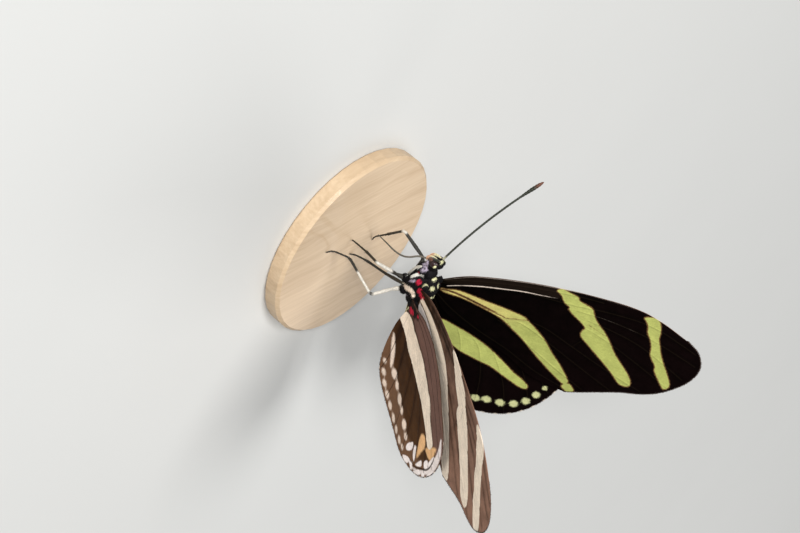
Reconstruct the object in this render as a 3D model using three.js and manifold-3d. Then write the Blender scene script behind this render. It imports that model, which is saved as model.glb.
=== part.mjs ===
// Zebra longwing butterfly (Heliconius charithonia), life size, standing on a plain round base.
// Millimetres, +Z up, head toward -Y, the butterfly's left toward +X.
// Lengths are laid out from the midpoint between the two forewing hinges, and the whole is then
// set with the middle of the base's underside level on the ground.
import * as THREE from 'three';
import { mergeVertices } from 'three/addons/utils/BufferGeometryUtils.js';
import Module from 'manifold-3d';

const wasm = await Module();
wasm.setup();

// Driving dimensions
const GAP = 0.3; // clear space between two nodes that meet
const MEMBRANE = 0.5; // wing thickness
const MARGIN_EDGE = 0.24; // thickness where the outer edge thins out
const VEIN_RISE = 0.13; // height of a vein above the membrane, on each face
const VEIN_HALF = 0.3; // half width of a vein's foot
const FAN_STEPS = 15; // steps from a wing's root to its outer edge

const HINGE_HALF_SPAN = 2.0; // forewing hinge to the body's middle plane
const HINGE_HEIGHT = 15.6; // forewing hinges above the base's top
const RAISE = { left: 56.2, right: 56.3 }; // degrees that the forewings stand above level
const FORE_TOE = { left: 5.5, right: 3.6 }; // degrees that its hind edge leans toward the abdomen
const FORE_ROOT = 0.3; // start of the forewing out from its hinge
const FORE_CAMBER = 0.55; // rise of the forewing's middle toward its upper face

const HIND_BACK = 2.0; // hindwing hinge behind the forewing hinge
const HIND_BELOW = 1.3; // hindwing below the forewing, square to the wings
const HIND_RAISE = { left: 2, right: 0 }; // degrees that the hindwing stands above the forewing
const HIND_TOE = { left: -3.0, right: 0 };
const HIND_STEEPEN = { left: 3.5, right: 6.5 }; // extra raise across the hindwing's middle
const HIND_TUCK = 16; // extra raise of its inner part, which hangs beside the abdomen

const THORAX = { x: 2.4, y: 3.6, z: 2.8 };
const THORAX_CENTRE = new THREE.Vector3(0, 0.5, -1.75);
const HEAD = { x: 1.15, y: 0.95, z: 1.4 };
const HEAD_CENTRE = new THREE.Vector3(0, -5.45, -0.45);
const EYE = { x: 0.78, y: 0.7, z: 0.9 };
const EYE_OUT = 0.62; // plane of the eye's back from the middle plane
const ABDOMEN_LENGTH = 18.2;
const ABDOMEN_RADIUS = 1.45;
const ABDOMEN_RISE = 3.5; // degrees
const ANTENNA_LENGTH = 19.5;
const ANTENNA_START = 0.58; // from the middle of its socket
const ANTENNA_SAG = 0.6;
const LEG_RADIUS = { coxa: 0.42, femur: 0.34, tibia: 0.27, tarsus: 0.25 };

const BASE_RADIUS = 17;
const BASE_HEIGHT = 3;
const BASE_CENTRE_Y = 3;

const rad = THREE.MathUtils.degToRad;
const lerp = THREE.MathUtils.lerp;
const smooth = THREE.MathUtils.smoothstep;
const v3 = (x, y, z) => new THREE.Vector3(x, y, z);

const model = new THREE.Group();
const butterfly = new THREE.Group();
model.add(butterfly);

function material(color, roughness) {
  return new THREE.MeshStandardMaterial({ color, roughness, metalness: 0 });
}

const COLOURS = {
  black: [0x17130f, 0.7],
  eye: [0x2a1512, 0.2],
  cream: [0xe6d3b0, 0.8],
  foreUpper: [0x15110e, 0.65],
  hindLower: [0x4a3228, 0.75],
  base: [0xd8c39c, 0.5],
};

function add(parent, name, geometry, [color, roughness]) {
  const mesh = new THREE.Mesh(geometry, material(color, roughness));
  mesh.name = name;
  parent.add(mesh);
  return mesh;
}

// Solids and their joins
function toSolid(geometry) {
  const bare = new THREE.BufferGeometry();
  bare.setAttribute('position', geometry.getAttribute('position').clone());
  const count = geometry.getAttribute('position').count;
  const index = geometry.index ? geometry.index.clone() : Array.from({ length: count }, (_, i) => i);
  bare.setIndex(index);
  const merged = mergeVertices(bare, 1e-4);
  const mesh = new wasm.Mesh({
    numProp: 3,
    vertProperties: new Float32Array(merged.getAttribute('position').array),
    triVerts: new Uint32Array(merged.index.array),
  });
  return new wasm.Manifold(mesh);
}

function toGeometry(solid) {
  const pieces = solid.decompose();
  const largest = pieces.reduce((a, b) => (a.volume() > b.volume() ? a : b));
  const mesh = largest.getMesh();
  const geometry = new THREE.BufferGeometry();
  geometry.setAttribute('position', new THREE.BufferAttribute(new Float32Array(mesh.vertProperties), 3));
  geometry.setIndex(new THREE.BufferAttribute(new Uint32Array(mesh.triVerts), 1));
  return geometry;
}

function fuse(...geometries) {
  return geometries.map(toSolid).reduce((a, b) => a.add(b));
}

function ellipsoid(centre, size, around = 20, down = 14) {
  const ball = new THREE.SphereGeometry(1, around, down);
  ball.rotateX(Math.PI / 2);
  ball.scale(size.x, size.y, size.z);
  ball.translate(centre.x, centre.y, centre.z);
  return ball;
}

// A closed limb: round sections along a smooth line, with a radius for each place from 0 to 1.
function limb(points, radiusAt, steps, sides) {
  const line = new THREE.CatmullRomCurve3(points, false, 'centripetal');
  const frames = line.computeFrenetFrames(steps, false);
  const position = [];
  const index = [];
  for (let i = 0; i <= steps; i += 1) {
    const t = i / steps;
    const centre = line.getPointAt(t);
    const r = radiusAt(t);
    for (let k = 0; k < sides; k += 1) {
      const a = (2 * Math.PI * k) / sides;
      const p = centre.clone();
      p.addScaledVector(frames.normals[i], r * Math.cos(a));
      p.addScaledVector(frames.binormals[i], r * Math.sin(a));
      position.push(p.x, p.y, p.z);
    }
  }
  for (let i = 0; i < steps; i += 1) {
    for (let k = 0; k < sides; k += 1) {
      const a = i * sides + k;
      const b = i * sides + ((k + 1) % sides);
      index.push(a, b, b + sides, a, b + sides, a + sides);
    }
  }
  for (const [ring, outward] of [[0, false], [steps, true]]) {
    const centre = line.getPointAt(ring / steps);
    const middle = position.length / 3;
    position.push(centre.x, centre.y, centre.z);
    for (let k = 0; k < sides; k += 1) {
      const a = ring * sides + k;
      const b = ring * sides + ((k + 1) % sides);
      if (outward) index.push(middle, a, b);
      else index.push(middle, b, a);
    }
  }
  const geometry = new THREE.BufferGeometry();
  geometry.setAttribute('position', new THREE.Float32BufferAttribute(position, 3));
  geometry.setIndex(index);
  return geometry;
}

function stations(pairs) {
  return (t) => {
    for (let i = 1; i < pairs.length; i += 1) {
      const [t0, a] = pairs[i - 1];
      const [t1, b] = pairs[i];
      if (t <= t1) return lerp(a, b, (t - t0) / (t1 - t0));
    }
    return pairs[pairs.length - 1][1];
  };
}

// Wings. Each is drawn flat, u out from the hinge and v toward the tail, as a fan of lines that
// start at the root and follow the veins to the outer edge.
const FOREWING = {
  rootU: FORE_ROOT,
  rootV: [-1.2, 1.9],
  edge: [
    [39.6, -4.2], [41.9, -2.6], [43.1, -0.6], [43.3, 1.2], [42.7, 3.2], [41.5, 5.0],
    [39.2, 7.15], [36.5, 8.5], [33.3, 9.4], [30.4, 10.6], [27.5, 11.9], [25.0, 12.9],
  ],
  lines: [
    {
      path: [[4.9, -3.7], [13.9, -5.9], [24, -7.0], [32.3, -6.8]],
      end: 0,
    },
    {
      path: [[5.2, -2.9], [13.5, -5.0], [22, -6.2], [30, -6.3], [36, -5.1]],
      end: 0.05,
      vein: [0, 0.6],
    },
    {
      path: [[5.4, -1.9], [12.2, -3.7], [20.2, -4.3], [27, -5.0], [33.5, -4.9], [39, -3.2]],
      end: 0.13,
      vein: [0, 0.96],
    },
    {
      path: [[5.4, -1.4], [12.2, -3.0], [20.2, -3.5], [26, -3.6], [34, -2.6]],
      end: 0.21,
      vein: [0.5, 0.96],
    },
    {
      path: [[5.4, -0.9], [12, -2.2], [18, -2.5], [24.4, -2.4], [33, -0.7]],
      end: 0.33,
      vein: [0.55, 0.96],
    },
    {
      path: [[5.5, -0.2], [12, -0.9], [18, -1.0], [24.8, -0.7], [32, 2.0]],
      end: 0.43,
      vein: [0.58, 0.96],
    },
    {
      path: [[5.6, 1.2], [9.1, 1.8], [11.3, 2.0], [14.7, 1.3], [18, 1.4], [24, 3.6], [30.5, 6.1]],
      end: 0.57,
      vein: [0, 0.96],
    },
    {
      path: [[5.6, 1.7], [9.1, 2.3], [11.3, 2.5], [14.4, 2.0], [20, 4.2], [26, 7.0]],
      end: 0.74,
      vein: [0.4, 0.96],
    },
    {
      path: [[5.6, 2.2], [9.1, 2.8], [11.6, 3.0], [15.9, 5.2], [22, 8.5]],
      end: 0.885,
      vein: [0.36, 0.96],
    },
    {
      path: [[3.2, 3.6], [8.2, 5.9], [13.9, 7.9], [19.4, 10.5]],
      end: 0.965,
      vein: [0, 0.95],
    },
    {
      path: [[2.6, 4.8], [8.2, 7.2], [13.9, 9.1], [19.1, 11.9]],
      end: 1,
    },
  ],
};

const HINDWING = {
  rootU: 0,
  rootV: [-0.9, 0.9],
  edge: [
    [23.2, 6.2], [24.2, 8.6], [24.0, 11.2], [22.8, 14.0], [20.9, 16.7], [18.6, 18.8], [16.0, 20.2],
    [13.0, 21.0], [9.7, 21.2], [6.4, 20.8], [3.4, 20.0], [1.0, 18.7], [-0.8, 17.1], [-1.9, 15.0],
    [-2.3, 12.6],
  ],
  lines: [
    {
      path: [[5.4, -1.6], [10.6, -1.3], [15.4, 0.5], [18.7, 2.6]],
      end: 0,
    },
    {
      path: [[5.2, -0.9], [10.6, -0.4], [15.2, 1.5], [19, 4.1]],
      end: 0.025,
      vein: [0, 0.9],
    },
    {
      path: [[5, -0.1], [10, 1.1], [16.5, 4.4]],
      end: 0.1,
      vein: [0, 0.96],
    },
    {
      path: [[5, 0.6], [9.5, 2.2], [16.5, 7.0]],
      end: 0.2,
      vein: [0.42, 0.96],
    },
    {
      path: [[5, 1.5], [11.3, 4.8], [17, 10.0]],
      end: 0.3,
      vein: [0.5, 0.96],
    },
    {
      path: [[4.2, 2.6], [8.3, 5.5], [11.2, 7.5], [15, 13.6]],
      end: 0.41,
      vein: [0, 0.96],
    },
    {
      path: [[3.8, 3.1], [7.2, 6.1], [9.6, 8.6], [11.4, 14.5]],
      end: 0.54,
      vein: [0.42, 0.96],
    },
    {
      path: [[3.1, 3.4], [5.5, 6.2], [6.8, 9.6], [7.4, 15]],
      end: 0.66,
      vein: [0.34, 0.96],
    },
    {
      path: [[1.4, 3.6], [2.3, 8.5], [2.6, 14]],
      end: 0.8,
      vein: [0, 0.96],
    },
    {
      path: [[0.0, 3.3], [-0.4, 8], [-0.7, 12]],
      end: 0.92,
      vein: [0, 0.95],
    },
    {
      path: [[-1.1, 3.0], [-1.8, 6.5], [-2.2, 10]],
      end: 1,
    },
  ],
};

const plane = (points) => new THREE.SplineCurve(points.map(([u, v]) => new THREE.Vector2(u, v)));

// Directions of a wing's plane on the left side: out along the wing, back, and up through it.
function wingAxes(raise, toe) {
  const back = v3(-Math.sin(toe), Math.cos(toe), 0);
  const out = v3(Math.cos(raise), 0, Math.sin(raise));
  out.addScaledVector(back, -out.dot(back)).normalize();
  return { out, back, up: out.clone().cross(back) };
}

const foreAxes = (word) => wingAxes(rad(RAISE[word]), rad(FORE_TOE[word]));

function placeForewing(word) {
  const { out, back, up } = foreAxes(word);
  return (u, v) => {
    const across = 1 - ((v - 3) / 10) ** 2;
    const camber = FORE_CAMBER * across * Math.sin((Math.PI * Math.min(u, 42)) / 42);
    const p = v3(HINGE_HALF_SPAN, 0, 0).addScaledVector(out, u).addScaledVector(back, v);
    return p.addScaledVector(up, camber);
  };
}

function placeHindwing(word, spread = 1) {
  const fore = foreAxes(word);
  const hinge = v3(HINGE_HALF_SPAN, 0, 0);
  hinge.addScaledVector(fore.back, HIND_BACK).addScaledVector(fore.up, -HIND_BELOW);
  return (u, v) => {
    const bearing = THREE.MathUtils.radToDeg(Math.atan2(v, u));
    const near = spread * smooth(Math.hypot(u, v), 1, 6);
    const middle = HIND_STEEPEN[word] * smooth(bearing, 8, 58);
    const inner = HIND_TUCK * smooth(bearing, 58, 100);
    const raise = RAISE[word] + near * (HIND_RAISE[word] + middle + inner);
    const axes = wingAxes(rad(raise), rad(lerp(FORE_TOE[word], HIND_TOE[word], near)));
    return hinge.clone().addScaledVector(axes.out, u).addScaledVector(axes.back, v);
  };
}

// The fan's lines with their half thickness: three lines to a vein and one in each wide panel.
function fanLines(wing) {
  const edge = plane(wing.edge);
  const count = wing.lines.length;
  const guides = wing.lines.map((line, k) => {
    const rootV = lerp(wing.rootV[0], wing.rootV[1], k / (count - 1));
    const end = edge.getPointAt(line.end);
    const curve = plane([[wing.rootU, rootV], ...line.path, [end.x, end.y]]);
    return { ...line, at: (s) => curve.getPointAt(s) };
  });
  const lines = [];
  const beside = (k, j, share) => (s) => {
    const a = guides[k].at(s);
    const b = guides[j].at(s);
    const reach = Math.min(VEIN_HALF, 0.3 * a.distanceTo(b));
    return a.lerp(b, (share * reach) / Math.max(a.distanceTo(b), 1e-6));
  };
  for (let k = 0; k < count; k += 1) {
    const { vein, at } = guides[k];
    if (vein && k > 0) lines.push({ at: beside(k, k - 1, 1) });
    lines.push({ at, vein, rim: k === 0 || k === count - 1 });
    if (vein && k < count - 1) lines.push({ at: beside(k, k + 1, 1) });
    if (k < count - 1) {
      const target = edge.getPointAt((guides[k].end + guides[k + 1].end) / 2);
      const middle = (s) => {
        const p = guides[k].at(s).lerp(guides[k + 1].at(s), 0.5);
        const chord = guides[k].at(1).lerp(guides[k + 1].at(1), 0.5);
        return p.addScaledVector(target.clone().sub(chord), s ** 3);
      };
      lines.push({ at: middle });
    }
  }
  return lines;
}

function wingSolid(wing, place, side) {
  const lines = fanLines(wing);
  const across = lines.length;
  const position = [];
  const step = 0.02;
  lines.forEach(({ at, vein, rim }) => {
    for (let i = 0; i <= FAN_STEPS; i += 1) {
      const s = i / FAN_STEPS;
      const { x: u, y: v } = at(s);
      const p = place(u, v);
      const du = place(u + step, v).sub(p);
      const dv = place(u, v + step).sub(p);
      const up = du.cross(dv).normalize();
      const thin = smooth(s, 0.9, 1);
      let half = lerp(MEMBRANE, MARGIN_EDGE, thin) / 2;
      if (rim) half *= 0.8;
      if (vein && s >= vein[0]) {
        const risen = smooth(s, vein[0] - 0.02, vein[0] + 0.04);
        half += VEIN_RISE * risen * (1 - smooth(s, vein[1] - 0.06, vein[1]));
      }
      for (const sign of [1, -1]) {
        const q = p.clone().addScaledVector(up, sign * half);
        position.push(side * q.x, q.y, q.z);
      }
    }
  });
  const at = (j, i, face) => 2 * (j * (FAN_STEPS + 1) + i) + face;
  const index = [];
  const quad = (a, b, c, d) => index.push(a, b, c, a, c, d);
  for (let j = 0; j < across - 1; j += 1) {
    for (let i = 0; i < FAN_STEPS; i += 1) {
      quad(at(j, i, 0), at(j, i + 1, 0), at(j + 1, i + 1, 0), at(j + 1, i, 0));
      index.push(at(j, i, 1), at(j + 1, i + 1, 1), at(j, i + 1, 1));
      index.push(at(j, i, 1), at(j + 1, i, 1), at(j + 1, i + 1, 1));
    }
    quad(at(j, 0, 0), at(j + 1, 0, 0), at(j + 1, 0, 1), at(j, 0, 1));
    quad(at(j, FAN_STEPS, 0), at(j, FAN_STEPS, 1), at(j + 1, FAN_STEPS, 1), at(j + 1, FAN_STEPS, 0));
  }
  const last = across - 1;
  for (let i = 0; i < FAN_STEPS; i += 1) {
    quad(at(0, i, 0), at(0, i, 1), at(0, i + 1, 1), at(0, i + 1, 0));
    quad(at(last, i, 0), at(last, i + 1, 0), at(last, i + 1, 1), at(last, i, 1));
  }
  if (side < 0) {
    for (let k = 0; k < index.length; k += 3) [index[k], index[k + 1]] = [index[k + 1], index[k]];
  }
  const geometry = new THREE.BufferGeometry();
  geometry.setAttribute('position', new THREE.Float32BufferAttribute(position, 3));
  geometry.setIndex(index);
  return geometry;
}

// Body
// A block that clears the space from a wing's root outward.
function rootClearance(place, wing, word) {
  const { out, back, up } = foreAxes(word);
  const beside = 0.8;
  const thickness = 1.8;
  const reach = 5;
  const width = wing.rootV[1] - wing.rootV[0] + 2 * beside;
  const block = new THREE.BoxGeometry(reach, width, thickness);
  const middle = (wing.rootV[0] + wing.rootV[1]) / 2;
  const centre = place(wing.rootU - GAP, middle).addScaledVector(out, reach / 2);
  const turn = new THREE.Matrix4().makeBasis(out, back, up);
  block.applyMatrix4(turn.setPosition(centre));
  if (word === 'right') mirrorX(block);
  return block;
}

function mirrorX(geometry) {
  geometry.scale(-1, 1, 1);
  const { index } = geometry;
  for (let k = 0; k < index.count; k += 3) {
    const a = index.getX(k);
    index.setX(k, index.getX(k + 1));
    index.setX(k + 1, a);
  }
  return geometry;
}

function thoraxSolid() {
  let body = fuse(
    ellipsoid(THORAX_CENTRE, THORAX, 20, 14),
    ellipsoid(v3(0, -2.9, -1.5), v3(1.6, 1.15, 1.75), 12, 8),
    ellipsoid(v3(0, 2.9, -1.9), v3(1.9, 1.5, 2.0), 14, 10),
  );
  for (const side of [1, -1]) {
    body = body.add(toSolid(ellipsoid(v3(side * 1.75, 0.2, -0.2), v3(0.95, 1.9, 0.8), 12, 8)));
    body = body.add(toSolid(ellipsoid(v3(side * 1.8, 2.0, -1.3), v3(0.9, 1.3, 0.9), 12, 8)));
  }
  for (const word of ['left', 'right']) {
    body = body.subtract(toSolid(rootClearance(placeForewing(word), FOREWING, word)));
    body = body.subtract(toSolid(rootClearance(placeHindwing(word, 0), HINDWING, word)));
  }
  return toGeometry(body);
}

function eyeGeometry(side, grow = 0) {
  const outline = [new THREE.Vector2(0, -grow)];
  const steps = 8;
  for (let i = 0; i <= steps; i += 1) {
    const a = (i / steps) * (Math.PI / 2);
    outline.push(new THREE.Vector2((EYE.z + grow) * Math.cos(a), (EYE.x + grow) * Math.sin(a)));
  }
  if (grow > 0) outline.splice(1, 0, new THREE.Vector2(EYE.z + grow, -grow));
  outline[outline.length - 1].x = 0;
  const dome = new THREE.LatheGeometry(outline, 18);
  dome.scale((EYE.y + grow) / (EYE.z + grow), 1, 1);
  dome.rotateZ(-Math.PI / 2);
  dome.rotateX(Math.PI / 2);
  dome.translate(EYE_OUT, HEAD_CENTRE.y - 0.15, HEAD_CENTRE.z);
  if (side < 0) mirrorX(dome);
  return toSolid(dome);
}

const ANTENNA_SOCKET = { x: 0.34, y: 0.36, z: 0.34 };
const ANTENNA_WAY = {
  left: v3(0.7, -0.63, 0.33).normalize(),
  right: v3(-0.75, -0.63, 0.215).normalize(),
};
const antennaRoot = (side) => v3(side * 0.42, HEAD_CENTRE.y - 0.95, HEAD_CENTRE.z + 0.7);

function headSolid() {
  let head = fuse(
    ellipsoid(HEAD_CENTRE, HEAD, 18, 14),
    ellipsoid(HEAD_CENTRE.clone().add(v3(0, 0.3, -0.75)), v3(0.8, 0.85, 0.75), 12, 8),
  );
  for (const side of [1, -1]) {
    const socket = antennaRoot(side).add(v3(0, 0.2, -0.05));
    head = head.add(toSolid(ellipsoid(socket, ANTENNA_SOCKET, 12, 8)));
  }
  for (const side of [1, -1]) head = head.subtract(eyeGeometry(side, GAP));
  return toGeometry(head);
}

// Middle lines of the smaller limbs on the left side, and radii at shares of their length
const PALP = {
  line: [
    [0.44, -5.3, -2.45], [0.46, -6.1, -2.25], [0.46, -6.7, -1.65],
    [0.44, -6.97, -0.85], [0.42, -6.9, -0.15],
  ],
  radii: [[0, 0.25], [0.15, 0.32], [0.5, 0.32], [0.8, 0.26], [1, 0.12]],
};
const PROBOSCIS = {
  line: [
    [0, -4.72, -2.75], [0, -4.05, -3.95], [0, -2.75, -5.35], [0, -2.0, -6.7],
    [0, -1.8, -8.3], [0, -2.05, -10.1], [0, -2.3, -12],
  ],
  radii: [[0, 0.28], [0.6, 0.25], [1, 0.16]],
};
const FORELEG = {
  line: [[1.1, -4.15, -2.85], [1.3, -3.4, -3.5], [1.32, -2.4, -4.05], [1.25, -1.35, -4.5]],
  radii: [[0, 0.3], [0.7, 0.27], [1, 0.2]],
};
const ANTENNA_RADII = [[0, 0.27], [0.8, 0.25], [0.92, 0.36], [0.97, 0.34], [1, 0.14]];

function smallLimb({ line, radii }, side, steps, sides) {
  return limb(line.map(([x, y, z]) => v3(side * x, y, z)), stations(radii), steps, sides);
}

function antenna(side, way) {
  const root = antennaRoot(side).addScaledVector(way, ANTENNA_START);
  const points = [0, 0.25, 0.5, 0.75, 1].map((t) => {
    const p = root.clone().addScaledVector(way, t * (ANTENNA_LENGTH - ANTENNA_START));
    p.z -= ANTENNA_SAG * 4 * t * (1 - t);
    return p;
  });
  return limb(points, stations(ANTENNA_RADII), 26, 8);
}

function abdomen() {
  const rings = 7;
  const profile = [new THREE.Vector2(0, 0)];
  const steps = 28;
  for (let i = 0; i <= steps; i += 1) {
    const t = i / steps;
    const waist = 0.82 + 0.18 * smooth(t, 0, 0.16);
    const taper = 1 - 0.42 * smooth(t, 0.45, 1);
    const nose = Math.sqrt(Math.max(0, 1 - Math.max(0, (t - 0.94) / 0.06) ** 2));
    const joint = 1 - 0.045 * (0.5 + 0.5 * Math.cos(2 * Math.PI * rings * t));
    profile.push(new THREE.Vector2(ABDOMEN_RADIUS * waist * taper * nose * joint, t * ABDOMEN_LENGTH));
  }
  profile[profile.length - 1].x = 0;
  const body = new THREE.LatheGeometry(profile, 14);
  body.scale(0.94, 1, 1.04);
  body.rotateX(rad(ABDOMEN_RISE));
  body.translate(0, THORAX_CENTRE.y + THORAX.y + GAP + 0.25, THORAX_CENTRE.z + 0.05);
  return toGeometry(toSolid(body));
}

// Legs: coxa, trochanter, knee, ankle, and the foot's flat end on the base.
const FOOT_Z = -HINGE_HEIGHT + GAP + LEG_RADIUS.tarsus;
const LEGS = {
  midleg_left: [
    [1.25, 0.2, -4.75], [2.15, -0.25, -5.05], [5.9, -3.2, -7.0], [3.3, -1.0, -11.0],
    [1.9, 0.3, -14.6], [1.4, 0.9],
  ],
  midleg_right: [
    [-1.3, 0.2, -4.9], [-3.15, -1.4, -4.6], [-2.2, -4.4, -9.0], [-3.3, -0.5, -12.4],
    [-3.9, 2.3, -14.8], [-4.1, 3.2],
  ],
  hindleg_left: [
    [1.05, 2.5, -4.6], [1.8, 3.0, -5.2], [6.2, 2.85, -6.2], [5.1, 0.6, -12.6],
    [6.2, 0.6, -14.9], [7.4, 0.5],
  ],
  hindleg_right: [
    [-1.0, 2.9, -4.6], [-1.4, 3.95, -5.55], [-3.4, 6.75, -10.65], [-1.6, 5.4, -13.8],
    [-0.2, 4.6, -14.9], [0.9, 4.1],
  ],
};

function leg([coxa, trochanter, knee, ankle, heel, toe]) {
  const at = (list) => v3(...list);
  const end = v3(toe[0], toe[1], FOOT_Z);
  const joints = [at(coxa), at(trochanter), at(knee), at(ankle), at(heel), end];
  const points = [joints[0]];
  const bend = 0.6;
  for (let i = 1; i < joints.length - 1; i += 1) {
    const before = joints[i].clone().lerp(joints[i - 1], bend / joints[i].distanceTo(joints[i - 1]));
    const after = joints[i].clone().lerp(joints[i + 1], bend / joints[i].distanceTo(joints[i + 1]));
    points.push(before, joints[i], after);
  }
  points.push(end);
  const { coxa: c, femur: f, tibia: b, tarsus: s } = LEG_RADIUS;
  const radii = [[0, c], [0.1, c], [0.16, f], [0.4, f], [0.48, b], [0.7, b], [0.78, s], [1, s]];
  return limb(points, stations(radii), 30, 6);
}

function baseSolid() {
  const topEdge = 0.5;
  const lowEdge = 0.3;
  const outline = [
    [0, 0], [BASE_RADIUS - lowEdge, 0], [BASE_RADIUS, lowEdge], [BASE_RADIUS, BASE_HEIGHT - topEdge],
    [BASE_RADIUS - topEdge, BASE_HEIGHT], [0, BASE_HEIGHT],
  ].map(([r, z]) => new THREE.Vector2(r, z));
  const disc = new THREE.LatheGeometry(outline, 40);
  disc.rotateX(Math.PI / 2);
  return toGeometry(toSolid(disc));
}

add(butterfly, 'thorax', thoraxSolid(), COLOURS.black);
add(butterfly, 'head', headSolid(), COLOURS.black);
add(butterfly, 'abdomen', abdomen(), COLOURS.black);
add(butterfly, 'proboscis', smallLimb(PROBOSCIS, 1, 22, 8), COLOURS.black);
for (const [side, word] of [[1, 'left'], [-1, 'right']]) {
  add(butterfly, `eye_${word}`, toGeometry(eyeGeometry(side)), COLOURS.eye);
  add(butterfly, `palp_${word}`, smallLimb(PALP, side, 12, 10), COLOURS.cream);
  add(butterfly, `antenna_${word}`, antenna(side, ANTENNA_WAY[word]), COLOURS.black);
  add(butterfly, `foreleg_${word}`, smallLimb(FORELEG, side, 10, 8), COLOURS.cream);
  add(butterfly, `forewing_${word}`, wingSolid(FOREWING, placeForewing(word), side), COLOURS.foreUpper);
  add(butterfly, `hindwing_${word}`, wingSolid(HINDWING, placeHindwing(word), side), COLOURS.hindLower);
}
for (const [name, joints] of Object.entries(LEGS)) add(butterfly, name, leg(joints), COLOURS.black);
const base = add(model, 'stand_base', baseSolid(), COLOURS.base);

// Set on the ground, with the middle of the whole outline over the origin.
butterfly.position.set(0, 0, BASE_HEIGHT + HINGE_HEIGHT);
base.position.set(0, BASE_CENTRE_Y, 0);
model.updateMatrixWorld(true);
const outline = new THREE.Box3().setFromObject(model, true);
const middle = outline.getCenter(new THREE.Vector3());
model.position.set(-middle.x, -middle.y, -outline.min.z);
model.updateMatrixWorld(true);

export default model;
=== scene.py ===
"""A zebra longwing butterfly, life size, standing on a plain round base.

Lengths in the tables below are millimetres from the hinge point, the middle between the two
forewing hinges: x to the butterfly's left, y toward its tail, z up. A wing is drawn flat, u out
from its hinge and v toward the tail, and then set at its angle.
"""

from types import SimpleNamespace

import bpy
import numpy as np
from bpy.props import FloatProperty, FloatVectorProperty, IntProperty, PointerProperty
from mathutils import Matrix, Vector


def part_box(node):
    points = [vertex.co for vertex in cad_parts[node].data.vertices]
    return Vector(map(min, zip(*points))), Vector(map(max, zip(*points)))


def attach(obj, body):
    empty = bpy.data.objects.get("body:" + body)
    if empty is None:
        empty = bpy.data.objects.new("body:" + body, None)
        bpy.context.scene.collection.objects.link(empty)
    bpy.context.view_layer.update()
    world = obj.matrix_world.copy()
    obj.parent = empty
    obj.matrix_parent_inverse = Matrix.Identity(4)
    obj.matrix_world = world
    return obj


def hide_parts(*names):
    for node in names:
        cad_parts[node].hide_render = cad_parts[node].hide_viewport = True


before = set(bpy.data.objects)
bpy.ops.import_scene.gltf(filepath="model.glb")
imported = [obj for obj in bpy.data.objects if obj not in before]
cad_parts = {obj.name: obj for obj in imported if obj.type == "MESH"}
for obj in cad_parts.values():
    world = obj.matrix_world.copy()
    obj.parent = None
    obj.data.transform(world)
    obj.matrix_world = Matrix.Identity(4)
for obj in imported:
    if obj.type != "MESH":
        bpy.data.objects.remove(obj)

bl_info = {
    "name": "Zebra Longwing Butterfly",
    "version": (1, 0, 0),
    "blender": (4, 5, 0),
    "location": "View3D > Sidebar > Longwing",
    "description": "Builds the wings, skin, down, legs and base of a zebra longwing butterfly",
    "category": "Add Mesh",
}

MM = 0.001
SIDES = {"left": 1.0, "right": -1.0}
KINDS = ("fore", "hind")
FAR = 9.0  # stands for "no marking near"
SEEDS = {"fringe": 5, "down": 11, "palps": 3, "legs": 7}

BASE_LOW, BASE_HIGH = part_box("stand_base")
HINGE_ABOVE_BASE = 15.6
BASE_BEHIND_HINGE = 3.0
HINGE = Vector((
    (BASE_LOW.x + BASE_HIGH.x) / 2,
    (BASE_LOW.y + BASE_HIGH.y) / 2 - BASE_BEHIND_HINGE * MM,
    BASE_HIGH.z + HINGE_ABOVE_BASE * MM,
))
FLOOR_OF_FEET = -HINGE_ABOVE_BASE

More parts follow.
